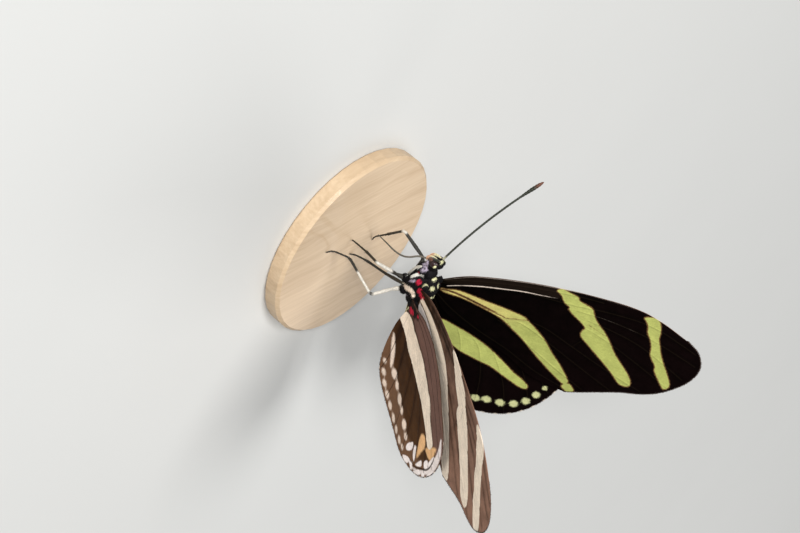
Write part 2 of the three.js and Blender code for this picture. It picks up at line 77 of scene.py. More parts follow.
# Wing shapes. Each line runs from the wing's root to its outer edge and most carry a vein,
# which shows between the two shares of the line's length given.
FOREWING = {
    "root_u": -0.1,
    "root_v": (-1.0, 1.6),
    "edge": [
        (39.6, -4.2), (41.9, -2.6), (43.1, -0.6), (43.3, 1.2), (42.7, 3.2), (41.5, 5.0),
        (39.2, 7.15), (36.5, 8.5), (33.3, 9.4), (30.4, 10.6), (27.5, 11.9), (25.0, 12.9),
    ],
    "lines": {
        "costa": ([(4.9, -3.7), (13.9, -5.9), (24, -7.0), (32.3, -6.8)], 0.0, None),
        "subcosta": ([(5.2, -2.9), (13.5, -5.0), (22, -6.2), (30, -6.3), (36, -5.1)], 0.05, (0, 0.62)),
        "radius": (
            [(5.4, -1.9), (12.2, -3.7), (20.2, -4.3), (27, -5.0), (33.5, -4.9), (39, -3.2)], 0.13, (0, 0.98),
        ),
        "radial_fork": ([(5.4, -1.4), (12.2, -3.0), (20.2, -3.5), (26, -3.6), (34, -2.6)], 0.21, (0.5, 0.98)),
        "median_1": ([(5.4, -0.9), (12, -2.2), (18, -2.5), (24.4, -2.4), (33, -0.7)], 0.33, (0.55, 0.98)),
        "median_2": ([(5.5, -0.2), (12, -0.9), (18, -1.0), (24.8, -0.7), (32, 2.0)], 0.43, (0.58, 0.98)),
        "median_3": (
            [(5.6, 1.2), (9.1, 1.8), (11.3, 2.0), (14.7, 1.3), (18, 1.4), (24, 3.6), (30.5, 6.1)], 0.57,
            (0, 0.98),
        ),
        "cubital_1": (
            [(5.6, 1.7), (9.1, 2.3), (11.3, 2.5), (14.4, 2.0), (20, 4.2), (26, 7.0)], 0.74, (0.4, 0.98),
        ),
        "cubital_2": ([(5.6, 2.2), (9.1, 2.8), (11.6, 3.0), (15.9, 5.2), (22, 8.5)], 0.885, (0.36, 0.98)),
        "anal": ([(3.2, 3.6), (8.2, 5.9), (13.9, 7.9), (19.4, 10.5)], 0.965, (0, 0.97)),
        "hind_margin": ([(2.6, 4.8), (8.2, 7.2), (13.9, 9.1), (19.1, 11.9)], 1.0, None),
    },
    "cross_veins": [[(24.0, -3.6), (24.5, -2.4), (24.9, -0.7)], [(24.9, -0.7), (24.3, 1.4), (23.2, 3.2)]],
}

HINDWING = {
    "root_u": -0.3,
    "root_v": (-0.8, 0.8),
    "edge": [
        (23.2, 6.2), (24.2, 8.6), (24.0, 11.2), (22.8, 14.0), (20.9, 16.7), (18.6, 18.8), (16.0, 20.2),
        (13.0, 21.0), (9.7, 21.2), (6.4, 20.8), (3.4, 20.0), (1.0, 18.7), (-0.8, 17.1), (-1.9, 15.0),
        (-2.3, 12.6),
    ],
    "lines": {
        "costa": ([(5.4, -1.6), (10.6, -1.3), (15.4, 0.5), (18.7, 2.6)], 0.0, None),
        "subcosta": ([(5.2, -0.9), (10.6, -0.4), (15.2, 1.5), (19, 4.1)], 0.025, (0, 0.9)),
        "radius": ([(5, -0.1), (10, 1.1), (16.5, 4.4)], 0.1, (0, 0.98)),
        "median_1": ([(5, 0.6), (9.5, 2.2), (16.5, 7.0)], 0.2, (0.42, 0.98)),
        "median_2": ([(5, 1.5), (11.3, 4.8), (17, 10.0)], 0.3, (0.5, 0.98)),
        "median_3": ([(4.2, 2.6), (8.3, 5.5), (11.2, 7.5), (15, 13.6)], 0.41, (0, 0.98)),
        "cubital_1": ([(3.8, 3.1), (7.2, 6.1), (9.6, 8.6), (11.4, 14.5)], 0.54, (0.42, 0.98)),
        "cubital_2": ([(3.1, 3.4), (5.5, 6.2), (6.8, 9.6), (7.4, 15)], 0.66, (0.34, 0.98)),
        "anal_1": ([(1.4, 3.6), (2.3, 8.5), (2.6, 14)], 0.8, (0, 0.98)),
        "anal_2": ([(0.0, 3.3), (-0.4, 8), (-0.7, 12)], 0.92, (0, 0.97)),
        "inner_margin": ([(-1.1, 3.0), (-1.8, 6.5), (-2.2, 10)], 1.0, None),
    },
    "cross_veins": [[(9.7, 2.3), (11.2, 4.6), (10.8, 7.1)]],
}

# Markings of each wing face: outlines are (u, v), spots (u, v, radius), lines (u, v, half width).
FORE_MEDIAN = [
    (17.6, -6.0), (18.3, -6.5), (19.8, -6.2), (21.0, -6.0), (21.4, -5.4), (22.9, -5.0), (23.8, -4.7),
    (24.3, -3.9), (25.1, -2.8), (26.9, -1.3), (28.4, 0.3), (29.7, 2.0), (31.2, 3.5), (32.9, 5.1),
    (34.0, 6.5), (34.2, 7.6), (33.5, 7.9), (32.4, 7.6), (30.7, 6.0), (28.8, 4.5), (26.9, 3.1),
    (25.0, 1.7), (23.7, 0.6), (23.7, -0.4), (23.9, -1.0), (22.7, -1.9), (21.3, -2.7), (20.4, -3.4),
    (20.4, -3.8), (19.3, -4.4), (18.7, -5.2), (18.1, -5.7),
]
FORE_APICAL = [
    (31.9, -6.1), (33.0, -6.5), (33.9, -6.4), (34.5, -5.8), (35.1, -4.3), (35.3, -3.0), (35.9, -1.8),
    (36.6, -0.3), (37.7, 1.4), (38.9, 3.1), (40.0, 4.9), (40.0, 5.8), (39.5, 6.2), (38.9, 5.7),
    (38.0, 4.6), (36.9, 3.2), (36.6, 2.2), (35.7, 1.1), (35.1, 0.2), (34.8, -1.1), (34.1, -2.5),
    (33.3, -3.6), (32.9, -4.8), (32.3, -5.6),
]
MARKINGS = {
    ("fore", "upper"): {
        "band": [
            [
                (0.7, 0.5), (1.5, 0.4), (3.0, -0.1), (5.2, -0.1), (7.7, 0.1), (10.2, 0.2), (12.5, 0.4),
                (14.2, 0.6), (14.9, 0.9), (17.0, 2.3), (18.9, 3.8), (20.6, 5.7), (22.5, 7.5), (24.0, 9.2),
                (24.9, 10.4), (24.8, 11.1), (24.3, 11.2), (23.4, 10.7), (21.6, 9.5), (19.4, 7.9),
                (17.2, 6.2), (15.3, 4.7), (13.5, 3.6), (11.8, 2.6), (10.3, 2.0), (8.2, 1.5), (5.8, 1.1),
                (3.9, 0.9), (1.9, 1.0), (0.8, 0.8),
            ],
            [(24.3, 11.8), (25.1, 10.9), (25.9, 11.4), (26.4, 12.2), (25.5, 12.7)],
            FORE_MEDIAN, FORE_APICAL,
        ],
        "cuts": [
            [(0.7, 0.6, 0.16), (2.3, 0.45, 0.2), (4.3, 0.6, 0.22), (6.7, 1.0, 0.24), (9.0, 1.4, 0.22),
             (11.0, 1.75, 0.14), (11.7, 1.9, 0.06)],
            [(11.7, 1.9, 0.05), (13.2, 3.4, 0.03)],
            [(11.7, 1.9, 0.05), (14.9, 1.1, 0.05), (18.2, 0.9, 0.04)],
            [(24.3, -1.7, 0.07), (27.3, -0.6, 0.03)],
        ],
        "line": [
            [(1.3, -0.3, 0.05), (3.7, -1.4, 0.07), (6.6, -2.4, 0.07), (9.7, -3.2, 0.07), (12.7, -3.9, 0.06),
             (15.8, -4.3, 0.05), (17.9, -4.6, 0.02), (19.0, -4.5, -0.04), (20.0, -4.1, -0.12)],
        ],
        "rim": [
            [(0.6, -1.3, 0.0), (4.9, -3.6, 0.03), (9.5, -4.9, 0.04), (13.9, -5.85, 0.04),
             (19.0, -6.55, 0.02), (24.0, -6.95, 0.0), (32.3, -6.75, -0.02), (39.4, -4.2, -0.05)],
            [(20.4, -3.9, -0.01), (23.0, -3.7, 0.0), (26.0, -3.65, 0.0), (30.0, -3.3, -0.01),
             (34.0, -2.6, -0.02)],
        ],
        "front": [[
            (0.5, -1.2), (3.7, -1.6), (6.6, -2.6), (9.7, -3.4), (12.7, -4.1), (15.8, -4.5), (18.5, -4.9),
            (18.0, -8.0), (9.0, -7.0), (2.0, -4.0),
        ]],
    },
    ("hind", "upper"): {
        "band": [[
            (0.3, 3.1), (1.5, 4.8), (3.5, 5.2), (6.2, 5.9), (9.0, 6.9), (11.6, 8.2), (13.7, 9.6),
            (16.0, 11.2), (17.9, 12.2), (18.8, 12.9), (19.0, 13.4), (18.6, 13.7), (17.8, 13.6),
            (16.5, 13.1), (15.6, 12.7), (14.3, 12.1), (12.5, 11.3), (10.9, 10.9), (9.3, 10.6),
            (7.9, 10.3), (6.5, 9.9), (5.2, 9.3), (3.8, 8.3), (2.5, 6.7), (1.0, 5.1),
        ]],
        "spots": [
            (4.0, 17.3, 0.45), (5.9, 18.0, 0.55), (7.9, 18.5, 0.6), (9.8, 18.6, 0.66), (11.8, 18.5, 0.7),
            (13.6, 18.0, 0.7), (15.8, 17.8, 0.72), (17.9, 17.2, 0.68), (19.6, 16.0, 0.66),
            (20.8, 14.3, 0.62), (21.7, 12.6, 0.4),
        ],
    },
    ("fore", "lower"): {
        "band": [[
            (1.0, -0.5), (3.0, -1.0), (5.1, -1.5), (7.8, -1.8), (10.5, -1.9), (12.6, -1.6), (14.5, -1.1),
            (16.3, 0.2), (18.5, 2.6), (20.3, 4.3), (22.6, 6.5), (25.1, 9.0), (26.9, 11.2), (26.4, 12.6),
            (25.2, 13.0), (24.0, 12.2), (22.3, 10.9), (20.0, 9.3), (17.6, 7.6), (15.4, 6.0), (13.2, 4.8),
            (11.0, 3.9), (9.0, 3.2), (6.5, 2.6), (4.8, 2.5), (2.3, 2.7), (0.8, 2.3),
        ]],
        "wide_band": [FORE_MEDIAN, FORE_APICAL],
        "cuts": [
            [(0.9, 0.7, 0.14), (3.5, 0.4, 0.14), (6.0, 0.4, 0.14), (7.9, 0.9, 0.12), (9.8, 1.6, 0.1),
             (11.1, 2.2, 0.05), (13.0, 3.4, 0.02)],
            [(24.3, -1.7, 0.07), (27.3, -0.6, 0.03)],
        ],
        "silver": [[
            (0.9, 1.0), (3.5, 0.6), (6.0, 0.6), (7.9, 1.1), (9.8, 1.9), (11.4, 2.8), (12.6, 4.0),
            (11.0, 4.3), (9.0, 3.6), (6.5, 2.9), (4.8, 2.8), (2.3, 2.9), (0.8, 2.5),
        ]],
        "crimson": [(-0.6, 0.9, 0.5), (0.6, -0.4, 0.6), (1.6, -0.9, 0.3), (2.0, 3.1, 0.4)],
        "root": [(-0.3, 0.2, 0.9)],
    },
    ("hind", "lower"): {
        "band": [[
            (-1.0, 2.7), (1.6, 1.9), (3.8, 2.3), (6.7, 2.7), (9.0, 3.0), (11.0, 3.8), (13.0, 4.6),
            (15.3, 5.7), (16.4, 6.7), (17.5, 7.9), (19.3, 9.3), (20.5, 10.2), (20.0, 11.6), (19.1, 12.1),
            (18.5, 11.9), (16.9, 10.8), (14.7, 9.6), (12.5, 8.7), (10.1, 8.1), (7.6, 7.4), (4.9, 6.7),
            (2.1, 5.9), (-0.3, 4.9), (-2.2, 3.7),
        ]],
        "pale": [
            [(12.7, 18.7), (12.9, 17.7), (13.8, 16.5), (14.4, 16.0), (14.6, 17.1), (14.0, 18.2),
             (13.1, 18.9)],
            [(15.1, 15.8), (15.6, 15.7), (16.2, 16.9), (16.4, 18.1), (15.7, 18.0), (15.1, 17.0)],
            [(12.7, 20.5), (14.3, 19.3), (15.0, 19.3), (14.5, 20.5), (13.2, 21.0)],
            [(15.4, 19.7), (15.5, 18.9), (16.1, 18.9), (16.4, 20.3)],
            [(17.0, 18.1), (18.1, 16.1), (18.6, 15.7), (18.9, 16.6), (17.5, 17.9)],
            [(17.0, 19.7), (18.3, 17.9), (19.2, 17.4), (19.1, 18.3), (17.3, 19.7)],
            [(19.4, 15.0), (20.2, 13.8), (20.8, 14.0), (20.9, 15.2), (19.9, 15.7)],
            [(20.9, 13.6), (21.8, 11.3), (22.5, 11.0), (22.4, 12.6), (21.4, 14.1)],
            [(19.8, 17.1), (20.5, 16.4), (20.8, 17.2), (20.0, 17.9)],
            [(21.3, 16.3), (21.9, 14.8), (23.2, 13.0), (23.5, 13.5), (22.4, 15.9), (21.3, 17.3)],
        ],
        "spots": [
            (1.9, 13.4, 0.88), (3.7, 14.2, 0.72), (5.9, 15.0, 0.92), (7.8, 15.6, 0.66), (10.0, 16.5, 0.85),
            (11.6, 17.5, 0.58), (-1.2, 13.4, 0.45), (-0.6, 15.3, 0.6), (0.4, 16.9, 0.62), (1.9, 18.0, 0.66),
            (3.6, 18.8, 0.7), (5.8, 19.4, 0.72), (7.9, 19.8, 0.66), (10.0, 19.9, 0.66), (11.7, 19.8, 0.5),
        ],
        "streaks": [
            [(-1.3, 7.6, 0.16), (-0.9, 8.8, 0.4), (-0.4, 10.0, 0.52), (0.0, 11.2, 0.5), (0.35, 12.3, 0.4),
             (0.5, 13.1, 0.2)],
        ],
        "peach": [
            [(16.0, 12.4), (17.2, 11.7), (18.2, 12.9), (17.7, 14.5), (16.9, 16.7), (16.5, 16.8),
             (16.1, 15.2), (15.8, 13.9)],
            [(18.7, 12.7), (21.7, 9.5), (22.0, 10.4), (21.4, 12.4), (20.6, 13.1), (19.3, 13.2)],
        ],
        "crimson": [(0.3, 1.2, 0.6), (1.2, 0.7, 0.45), (3.4, -0.6, 0.32), (-1.9, 3.1, 0.3)],
        "root": [(0.0, 0.2, 1.5), (1.8, 0.0, 1.1), (3.2, -0.5, 0.7)],
        "outer": [[
            (-2.4, 7.0), (-1.2, 9.2), (-0.2, 11.6), (1.9, 13.0), (3.7, 13.8), (5.9, 14.6), (8.3, 15.3),
            (10.1, 16.2), (11.8, 17.0), (14.0, 16.6), (15.6, 17.2), (18.5, 16.0), (20.8, 13.5),
            (22.2, 10.0), (23.5, 8.0), (26.0, 10.0), (25.0, 17.0), (18.0, 23.0), (6.0, 24.0),
            (-3.0, 19.0), (-4.5, 12.0),
        ]],
        "front": [[
            (-1.0, 2.0), (1.8, 1.3), (3.8, 1.9), (6.7, 2.4), (9.0, 2.8), (11.0, 3.6), (13.0, 4.4),
            (15.3, 5.5), (17.5, 7.7), (20.5, 10.0), (23.0, 10.0), (26.0, 8.0), (22.0, 1.0), (14.0, -3.0),
            (4.0, -4.0), (-2.0, -2.0),
        ]],
        "margin": [
            [(21.6, 9.6, 0.08), (22.1, 10.8, 0.14), (22.1, 12.2, 0.16), (21.6, 13.9, 0.16),
             (20.6, 15.5, 0.16), (18.9, 17.0, 0.14), (17.0, 18.6, 0.1), (14.6, 19.1, 0.08)],
        ],
        "rim": [
            [(22.6, 6.9, 0.2), (23.3, 8.9, 0.6), (23.1, 11.2, 0.72), (22.1, 13.7, 0.66), (20.4, 16.2, 0.4),
             (18.3, 18.3, 0.24), (15.8, 19.8, 0.16)],
        ],
    },
}
LOWER_BAND_GROWTH = 0.85  # the median and tip bands reach this much further underneath
RUSTY_EDGE = 0.15  # how far the rusty scales reach past a band
UNDERSIDE_PLACE = 20.0  # sets the pattern of the underside's scales apart from the upper face's

# Angles of the wings in degrees, the same as in the solids.
RAISE = {"left": 56.2, "right": 56.3}
FORE_TOE = {"left": 5.5, "right": 3.6}
HIND_TOE = {"left": -3.0, "right": 0.0}
HIND_RAISE = {"left": 2.0, "right": 0.0}
HIND_STEEPEN = {"left": 3.5, "right": 6.5}
HIND_TUCK = 16.0
HIND_BACK = 2.0
HIND_BELOW = 1.3
HINGE_HALF_SPAN = 2.0
FORE_CAMBER = 0.55
CAMBER_REACH = 42.0  # the arch runs from the hinge this far out,
CAMBER_LINE, CAMBER_WIDTH = 3.0, 10.0  # is highest on this line and flat this far from it

# A membrane's build, in millimetres and in shares of the way from its root to its edge.
SHEET_SHIFT = {"fore": -0.19, "hind": 0.19}  # the membranes lie toward each other within the solids
VEIN_FOOT = (0.08, 0.16, 0.24)  # distances of the mesh lines that shape a vein's foot
FOOT_SHARE = 0.3  # most of a narrow gap between two veins that a foot takes
EDGE_THINNING, THIN_FROM = 0.55, 0.93
VEINS_SINK_FROM = 0.95
SAG_FROM, SAG_TO = 0.1, 1.4  # distances from a vein between which the membrane comes to sag
CURVE_STEPS = 16
NUDGE = 0.02  # a short step for finding a surface's directions
FRINGE_HAIRS = 900

# Markings of the body, most of them the same on both sides: spots (x, y, z, radius) and
# lines (x, y, z, half width). The dots are black and lie on the lilac.
BODY_SPOTS = {
    "pale": [
        (0.22, -2.48, 0.12, 0.3), (0.66, -1.28, 0.76, 0.43), (0.48, 0.93, 0.97, 0.42),
        (0.2, -6.15, 0.42, 0.26), (1.16, -6.22, -0.33, 0.12), (1.2, -5.72, 0.14, 0.3),
    ],
    "crimson": [
        (1.76, -1.6, -1.24, 0.44), (2.3, -0.75, -0.3, 0.46), (1.3, -2.8, -1.95, 0.24),
        (1.12, 4.85, -1.4, 0.5),
    ],
    "cream": [(1.44, 2.35, -4.56, 0.2)],
    "lilac": [(1.81, 2.4, -2.77, 0.25), (1.2, -5.3, -1.3, 0.42), (1.0, -4.8, -1.0, 0.35)],
    "dots": [
        (0.92, -3.79, -1.59, 0.15), (0.73, -4.09, -1.02, 0.15), (0.55, -3.9, -1.82, 0.12),
        (1.1, -3.5, -1.15, 0.13), (1.25, -5.25, -1.45, 0.13), (2.0, -0.7, -2.5, 0.12),
    ],
}
LEFT_SPOTS = {"pale": [(1.64, -1.78, -0.08, 0.44)], "crimson": [(2.12, -0.31, 0.2, 0.42)]}  # shoulder
BODY_LINES = {
    "cream": [
        [(1.5, 1.3, -4.0, 0.4), (1.85, 0.97, -3.25, 0.46), (2.1, 0.55, -2.5, 0.48), (2.28, 0.45, -1.8, 0.5),
         (2.28, 0.85, -1.2, 0.42)],
    ],
    "lilac": [
        [(0.35, -3.95, -2.0, 0.34), (0.74, -3.89, -1.35, 0.38), (1.19, -3.6, -1.55, 0.28)],
        [(2.04, -0.8, -2.72, 0.16), (1.99, -1.44, -1.9, 0.2)],
    ],
    "white": [
        [(1.73, -1.5, -2.87, 0.26), (1.42, -2.31, -2.17, 0.28), (1.5, -2.86, -1.03, 0.22)],
        [(1.29, -0.68, -3.91, 0.08), (1.04, -1.99, -3.31, 0.1), (1.12, -3.47, -2.29, 0.08)],
        [(0.9, -1.4, 0.36, 0.06), (0.97, -0.85, 0.52, 0.08)],
    ],
}


def lerp(a, b, t):
    """From a to b by the share t."""
    return a + (b - a) * t


def smooth(x, low, high):
    """Eased passage from 0 at low to 1 at high."""
    t = np.clip((np.asarray(x, float) - low) / (high - low), 0, 1)
    return t * t * (3 - 2 * t)


def unit(v):
    """Each vector at length one."""
    return v / np.maximum(np.linalg.norm(v, axis=-1, keepdims=True), 1e-12)


def spline(points, per_span=12, closed=False):
    """Points on a smooth line through the given ones."""
    p = np.asarray(points, float)
    count = len(p)
    spans = count if closed else count - 1
    t = np.linspace(0, 1, per_span, endpoint=False)[:, None]
    pieces = []
    for i in range(spans):
        if closed:
            a, b, c, d = (p[(i + k) % count] for k in (-1, 0, 1, 2))
        else:
            a, b, c, d = (p[min(max(i + k, 0), count - 1)] for k in (-1, 0, 1, 2))
        m0 = (c - a) / 2
        m1 = (d - b) / 2
        h = b * (2 * t**3 - 3 * t**2 + 1) + m0 * (t**3 - 2 * t**2 + t)
        pieces.append(h + c * (3 * t**2 - 2 * t**3) + m1 * (t**3 - t**2))
    if not closed:
        pieces.append(p[-1:])
    return np.concatenate(pieces)


def along(line, shares):
    """Points at shares of a line's length."""
    step = np.linalg.norm(np.diff(line, axis=0), axis=1)
    reach = np.concatenate([[0], np.cumsum(step)])
    reach /= reach[-1]
    return np.stack([np.interp(shares, reach, line[:, k]) for k in range(line.shape[1])], -1)


def line_distance(points, line):
    """Distance from each point to an open line of straight pieces, and the share where it is met."""
    best = np.full(len(points), 1e9)
    where = np.zeros(len(points))
    for i in range(len(line) - 1):
        a = line[i]
        ab = line[i + 1] - a
        t = np.clip((points - a) @ ab / max(ab @ ab, 1e-12), 0, 1)
        d = np.linalg.norm(points - a - t[:, None] * ab, axis=1)
        near = d < best
        best[near] = d[near]
        where[near] = (i + t[near]) / (len(line) - 1)
    return best, where


def outline_depth(points, outline):
    """Depth inside a closed outline: positive inside, negative outside."""
    ring = spline(outline, 4, closed=True)
    closed = np.vstack([ring, ring[:1]])
    depth, _ = line_distance(points, closed)
    inside = np.zeros(len(points), bool)
    for a, b in zip(closed[:-1], closed[1:]):
        crosses = (a[1] > points[:, 1]) != (b[1] > points[:, 1])
        rise = b[1] - a[1]
        if rise == 0:
            continue
        inside ^= crosses & (points[:, 0] < (b[0] - a[0]) * (points[:, 1] - a[1]) / rise + a[0])
    return np.where(inside, depth, -depth)


def spot_depth(points, spots):
    """Depth inside the nearest of some round spots; the last number of each is its radius."""
    best = np.full(len(points), -FAR)
    for *centre, radius in spots:
        best = np.maximum(best, radius - np.linalg.norm(points - np.array(centre), axis=1))
    return best


def stroke_depth(points, strokes):
    """Depth inside the nearest of some lines; the last number of each point is the half width there."""
    best = np.full(len(points), -FAR)
    for stroke in strokes:
        line = spline(stroke, 4)
        distance, share = line_distance(points, line[:, :-1])
        half = np.interp(share, np.linspace(0, 1, len(line)), line[:, -1])
        best = np.maximum(best, half - distance)
    return best


def area_depth(points, outlines):
    """Depth inside the nearest of some closed outlines."""
    best = np.full(len(points), -FAR)
    for outline in outlines:
        best = np.maximum(best, outline_depth(points, outline))
    return best


def wing_axes(rise, toe):
    """A left wing's directions for angles in degrees: out along it, back, and up through it."""
    rise, toe = np.radians(rise), np.radians(toe)
    back = np.stack([-np.sin(toe), np.cos(toe), np.zeros_like(toe)], -1)
    out = np.stack([np.cos(rise), np.zeros_like(rise), np.sin(rise)], -1)
    out = unit(out - (out * back).sum(-1, keepdims=True) * back)
    return out, back, np.cross(out, back)


def place_forewing(u, v, word):
    """Points of a left forewing, set at the angles of the given side and arched."""
    out, back, up = wing_axes(np.full(u.shape, RAISE[word]), np.full(u.shape, FORE_TOE[word]))
    across = 1 - ((v - CAMBER_LINE) / CAMBER_WIDTH) ** 2
    camber = FORE_CAMBER * across * np.sin(np.pi * np.clip(u, 0, CAMBER_REACH) / CAMBER_REACH)
    hinge = np.array([HINGE_HALF_SPAN, 0, 0])
    return hinge + out * u[..., None] + back * v[..., None] + up * camber[..., None]


def place_hindwing(u, v, word):
    """Points of a left hindwing, which steepens toward the tail and folds in along the abdomen."""
    _, back, up = wing_axes(np.array(RAISE[word]), np.array(FORE_TOE[word]))
    hinge = np.array([HINGE_HALF_SPAN, 0, 0]) + back * HIND_BACK - up * HIND_BELOW
    bearing = np.degrees(np.arctan2(v, u))
    near = smooth(np.hypot(u, v), 1, 6)
    steepen = HIND_RAISE[word] + HIND_STEEPEN[word] * smooth(bearing, 8, 58)
    steepen += HIND_TUCK * smooth(bearing, 58, 100)
    out, back, _ = wing_axes(RAISE[word] + near * steepen, lerp(FORE_TOE[word], HIND_TOE[word], near))
    return hinge + out * u[..., None] + back * v[..., None]


WINGS = {"fore": (FOREWING, place_forewing), "hind": (HINDWING, place_hindwing)}


def wing_normals(place, u, v, word):
    """Directions square to a wing at template points."""
    here = place(u, v, word)
    return unit(np.cross(place(u + NUDGE, v, word) - here, place(u, v + NUDGE, word) - here))


def fan(wing, steps, fill):
    """Grid of template points, root to edge by line to line, and each vein as a line."""
    shares = np.linspace(0, 1, steps + 1)
    edge = spline(wing["edge"], CURVE_STEPS)
    low, high = wing["root_v"]
    guides, ends, veins = [], [], {}
    for number, (name, (path, end, shown)) in enumerate(wing["lines"].items()):
        root = (wing["root_u"], lerp(low, high, number / (len(wing["lines"]) - 1)))
        tip = along(edge, [end])[0]
        guide = along(spline([root, *path, tuple(tip)], CURVE_STEPS), shares)
        guides.append(guide)
        ends.append(end)
        if shown:
            veins[name] = guide[(shares >= shown[0]) & (shares <= shown[1])]
    columns = []
    for k in range(len(guides) - 1):
        a, b = guides[k], guides[k + 1]
        gap = np.linalg.norm(b - a, axis=1)
        near = [
            np.minimum(reach, FOOT_SHARE * gap * reach / VEIN_FOOT[-1]) / np.maximum(gap, 1e-6)
            for reach in VEIN_FOOT
        ]
        inner = [lerp(near[-1], 1 - near[-1], (j + 1) / (fill + 1)) for j in range(fill)]
        for f in [np.zeros(steps + 1), *near, *inner, *(1 - n for n in reversed(near))]:
            line = lerp(a, b, f[:, None])
            target = along(edge, [lerp(ends[k], ends[k + 1], f[-1])])[0]
            columns.append(line + (target - line[-1]) * shares[:, None] ** 3)
    columns.append(guides[-1])
    for number, cross in enumerate(wing["cross_veins"]):
        veins[f"cross_{number}"] = spline(cross, 8)
    return np.stack(columns), veins


def to_frame(points):
    """Millimetres from the hinge point to metres in the frame."""
    return np.asarray(points, float) * MM + np.array(HINGE)


def make_object(name, points, faces, materials, attributes, slots=None, uv=None):
    """A smooth mesh object from points in millimetres, with values that its points carry."""
    mesh = bpy.data.meshes.new(name)
    groups = faces if isinstance(faces, list) else [faces]
    corner_counts = np.concatenate([np.full(len(g), g.shape[1]) for g in groups])
    corners = np.concatenate([g.ravel() for g in groups])
    mesh.vertices.add(len(points))
    mesh.vertices.foreach_set("co", to_frame(points).astype(np.float32).ravel())
    mesh.loops.add(len(corners))
    mesh.loops.foreach_set("vertex_index", corners.astype(np.int32))
    mesh.polygons.add(len(corner_counts))
    starts = np.concatenate([[0], np.cumsum(corner_counts)[:-1]])
    mesh.polygons.foreach_set("loop_start", starts.astype(np.int32))
    if slots is not None:
        mesh.polygons.foreach_set("material_index", np.asarray(slots, np.int32))
    mesh.update(calc_edges=True)
    mesh.validate()
    mesh.polygons.foreach_set("use_smooth", np.full(len(mesh.polygons), True))
    for key, values in attributes.items():
        values = np.asarray(values, np.float32)
        if values.ndim == 2:
            mesh.attributes.new(key, "FLOAT_VECTOR", "POINT").data.foreach_set("vector", values.ravel())
        else:
            mesh.attributes.new(key, "FLOAT", "POINT").data.foreach_set("value", values)
    if uv is not None:
        layer = mesh.uv_layers.new(name="OFBake")
        layer.data.foreach_set("uv", np.asarray(uv, np.float32)[corners].ravel())
    for material in materials:
        mesh.materials.append(material)
    obj = bpy.data.objects.new(name, mesh)
    bpy.context.scene.collection.objects.link(obj)
    return obj


def grid_faces(rows, columns, wrap=False):
    """Quads of a grid numbered row by row; wrap joins the last column to the first."""
    r = np.arange(rows - 1)[:, None]
    c = np.arange(columns if wrap else columns - 1)[None, :]
    nxt = (c + 1) % columns
    a, b = r * columns + c, r * columns + nxt
    return np.stack([a, b, b + columns, a + columns], -1).reshape(-1, 4)


def tube(points, radius, sides=10, flatten=1.0):
    """Points, faces and shares of length of a closed tube along a line, radius for each point."""
    points = np.asarray(points, float)
    radius = np.broadcast_to(np.asarray(radius, float), (len(points),))
    tangent = unit(np.gradient(points, axis=0))
    side = np.cross(tangent[0], [0.0, 0.0, 1.0])
    if np.linalg.norm(side) < 0.1:
        side = np.cross(tangent[0], [0.0, 1.0, 0.0])
    side = unit(side)
    rings = []
    turn = np.linspace(0, 2 * np.pi, sides, endpoint=False)
    for p, t, r in zip(points, tangent, radius):
        side = unit(side - (side @ t) * t)
        other = np.cross(t, side)
        rings.append(p + r * (np.cos(turn)[:, None] * side + flatten * np.sin(turn)[:, None] * other))
    rings = np.concatenate(rings)
    rows = len(points)
    quads = grid_faces(rows, sides, wrap=True)
    share = np.repeat(np.linspace(0, 1, rows), sides)
    low, high = len(rings), len(rings) + 1
    verts = np.vstack([rings, points[:1], points[-1:]])
    ring = np.arange(sides)
    nxt = (ring + 1) % sides
    first = np.stack([nxt, ring, np.full(sides, low)], -1)
    base = (rows - 1) * sides
    last = np.stack([base + ring, base + nxt, np.full(sides, high)], -1)
    return verts, [quads, np.vstack([first, last])], np.concatenate([share, [0, 1]])


def join_parts(parts):
    """One set of points, faces and values from several (points, faces, values)."""
    verts, quads, tris, values = [], [], [], []
    start = 0
    for points, faces, value in parts:
        for group in faces:
            (quads if group.shape[1] == 4 else tris).append(group + start)
        verts.append(points)
        values.append(value)
        start += len(points)
    groups = [np.vstack(g) for g in (quads, tris) if g]
    return np.vstack(verts), groups, np.concatenate(values)


def set_inputs(tree, node, inputs):
    """Links each input that is given as a socket and sets any other."""
    for key, value in inputs.items():
        if isinstance(value, bpy.types.NodeSocket):
            tree.links.new(value, node.inputs[key])
        else:
            node.inputs[key].default_value = value
    return node


def add_node(tree, kind, inputs=None, **settings):
    """A shader node with its settings and inputs."""
    node = tree.nodes.new(kind)
    for key, value in settings.items():
        setattr(node, key, value)
    return set_inputs(tree, node, inputs or {})


def carried(tree, name, output="Fac"):
    """A value that the mesh's points carry; output "Vector" gives a place."""
    return add_node(tree, "ShaderNodeAttribute", attribute_name=name).outputs[output]


def math_node(tree, operation, a, b=0.0):
    """One step of arithmetic."""
    return add_node(tree, "ShaderNodeMath", {0: a, 1: b}, operation=operation).outputs[0]


def noise(tree, place, scale, detail, roughness=0.5):
    """A cloudy noise node over a place."""
    inputs = {"Vector": place, "Scale": scale, "Detail": detail, "Roughness": roughness}
    return add_node(tree, "ShaderNodeTexNoise", inputs)


def scaled(tree, value, to_low, to_high, low=0.0, high=1.0, passage="LINEAR"):
    """A value between low and high carried to the range from to_low to to_high."""
    inputs = {"Value": value, "From Min": low, "From Max": high, "To Min": to_low, "To Max": to_high}
    return add_node(tree, "ShaderNodeMapRange", inputs, interpolation_type=passage).outputs[0]


def eased(tree, value, low, high, to_low=0.0, to_high=1.0):
    """A value's smooth passage from to_low, where it is low, to to_high, where it is high."""
    return scaled(tree, value, to_low, to_high, low, high, "SMOOTHSTEP")


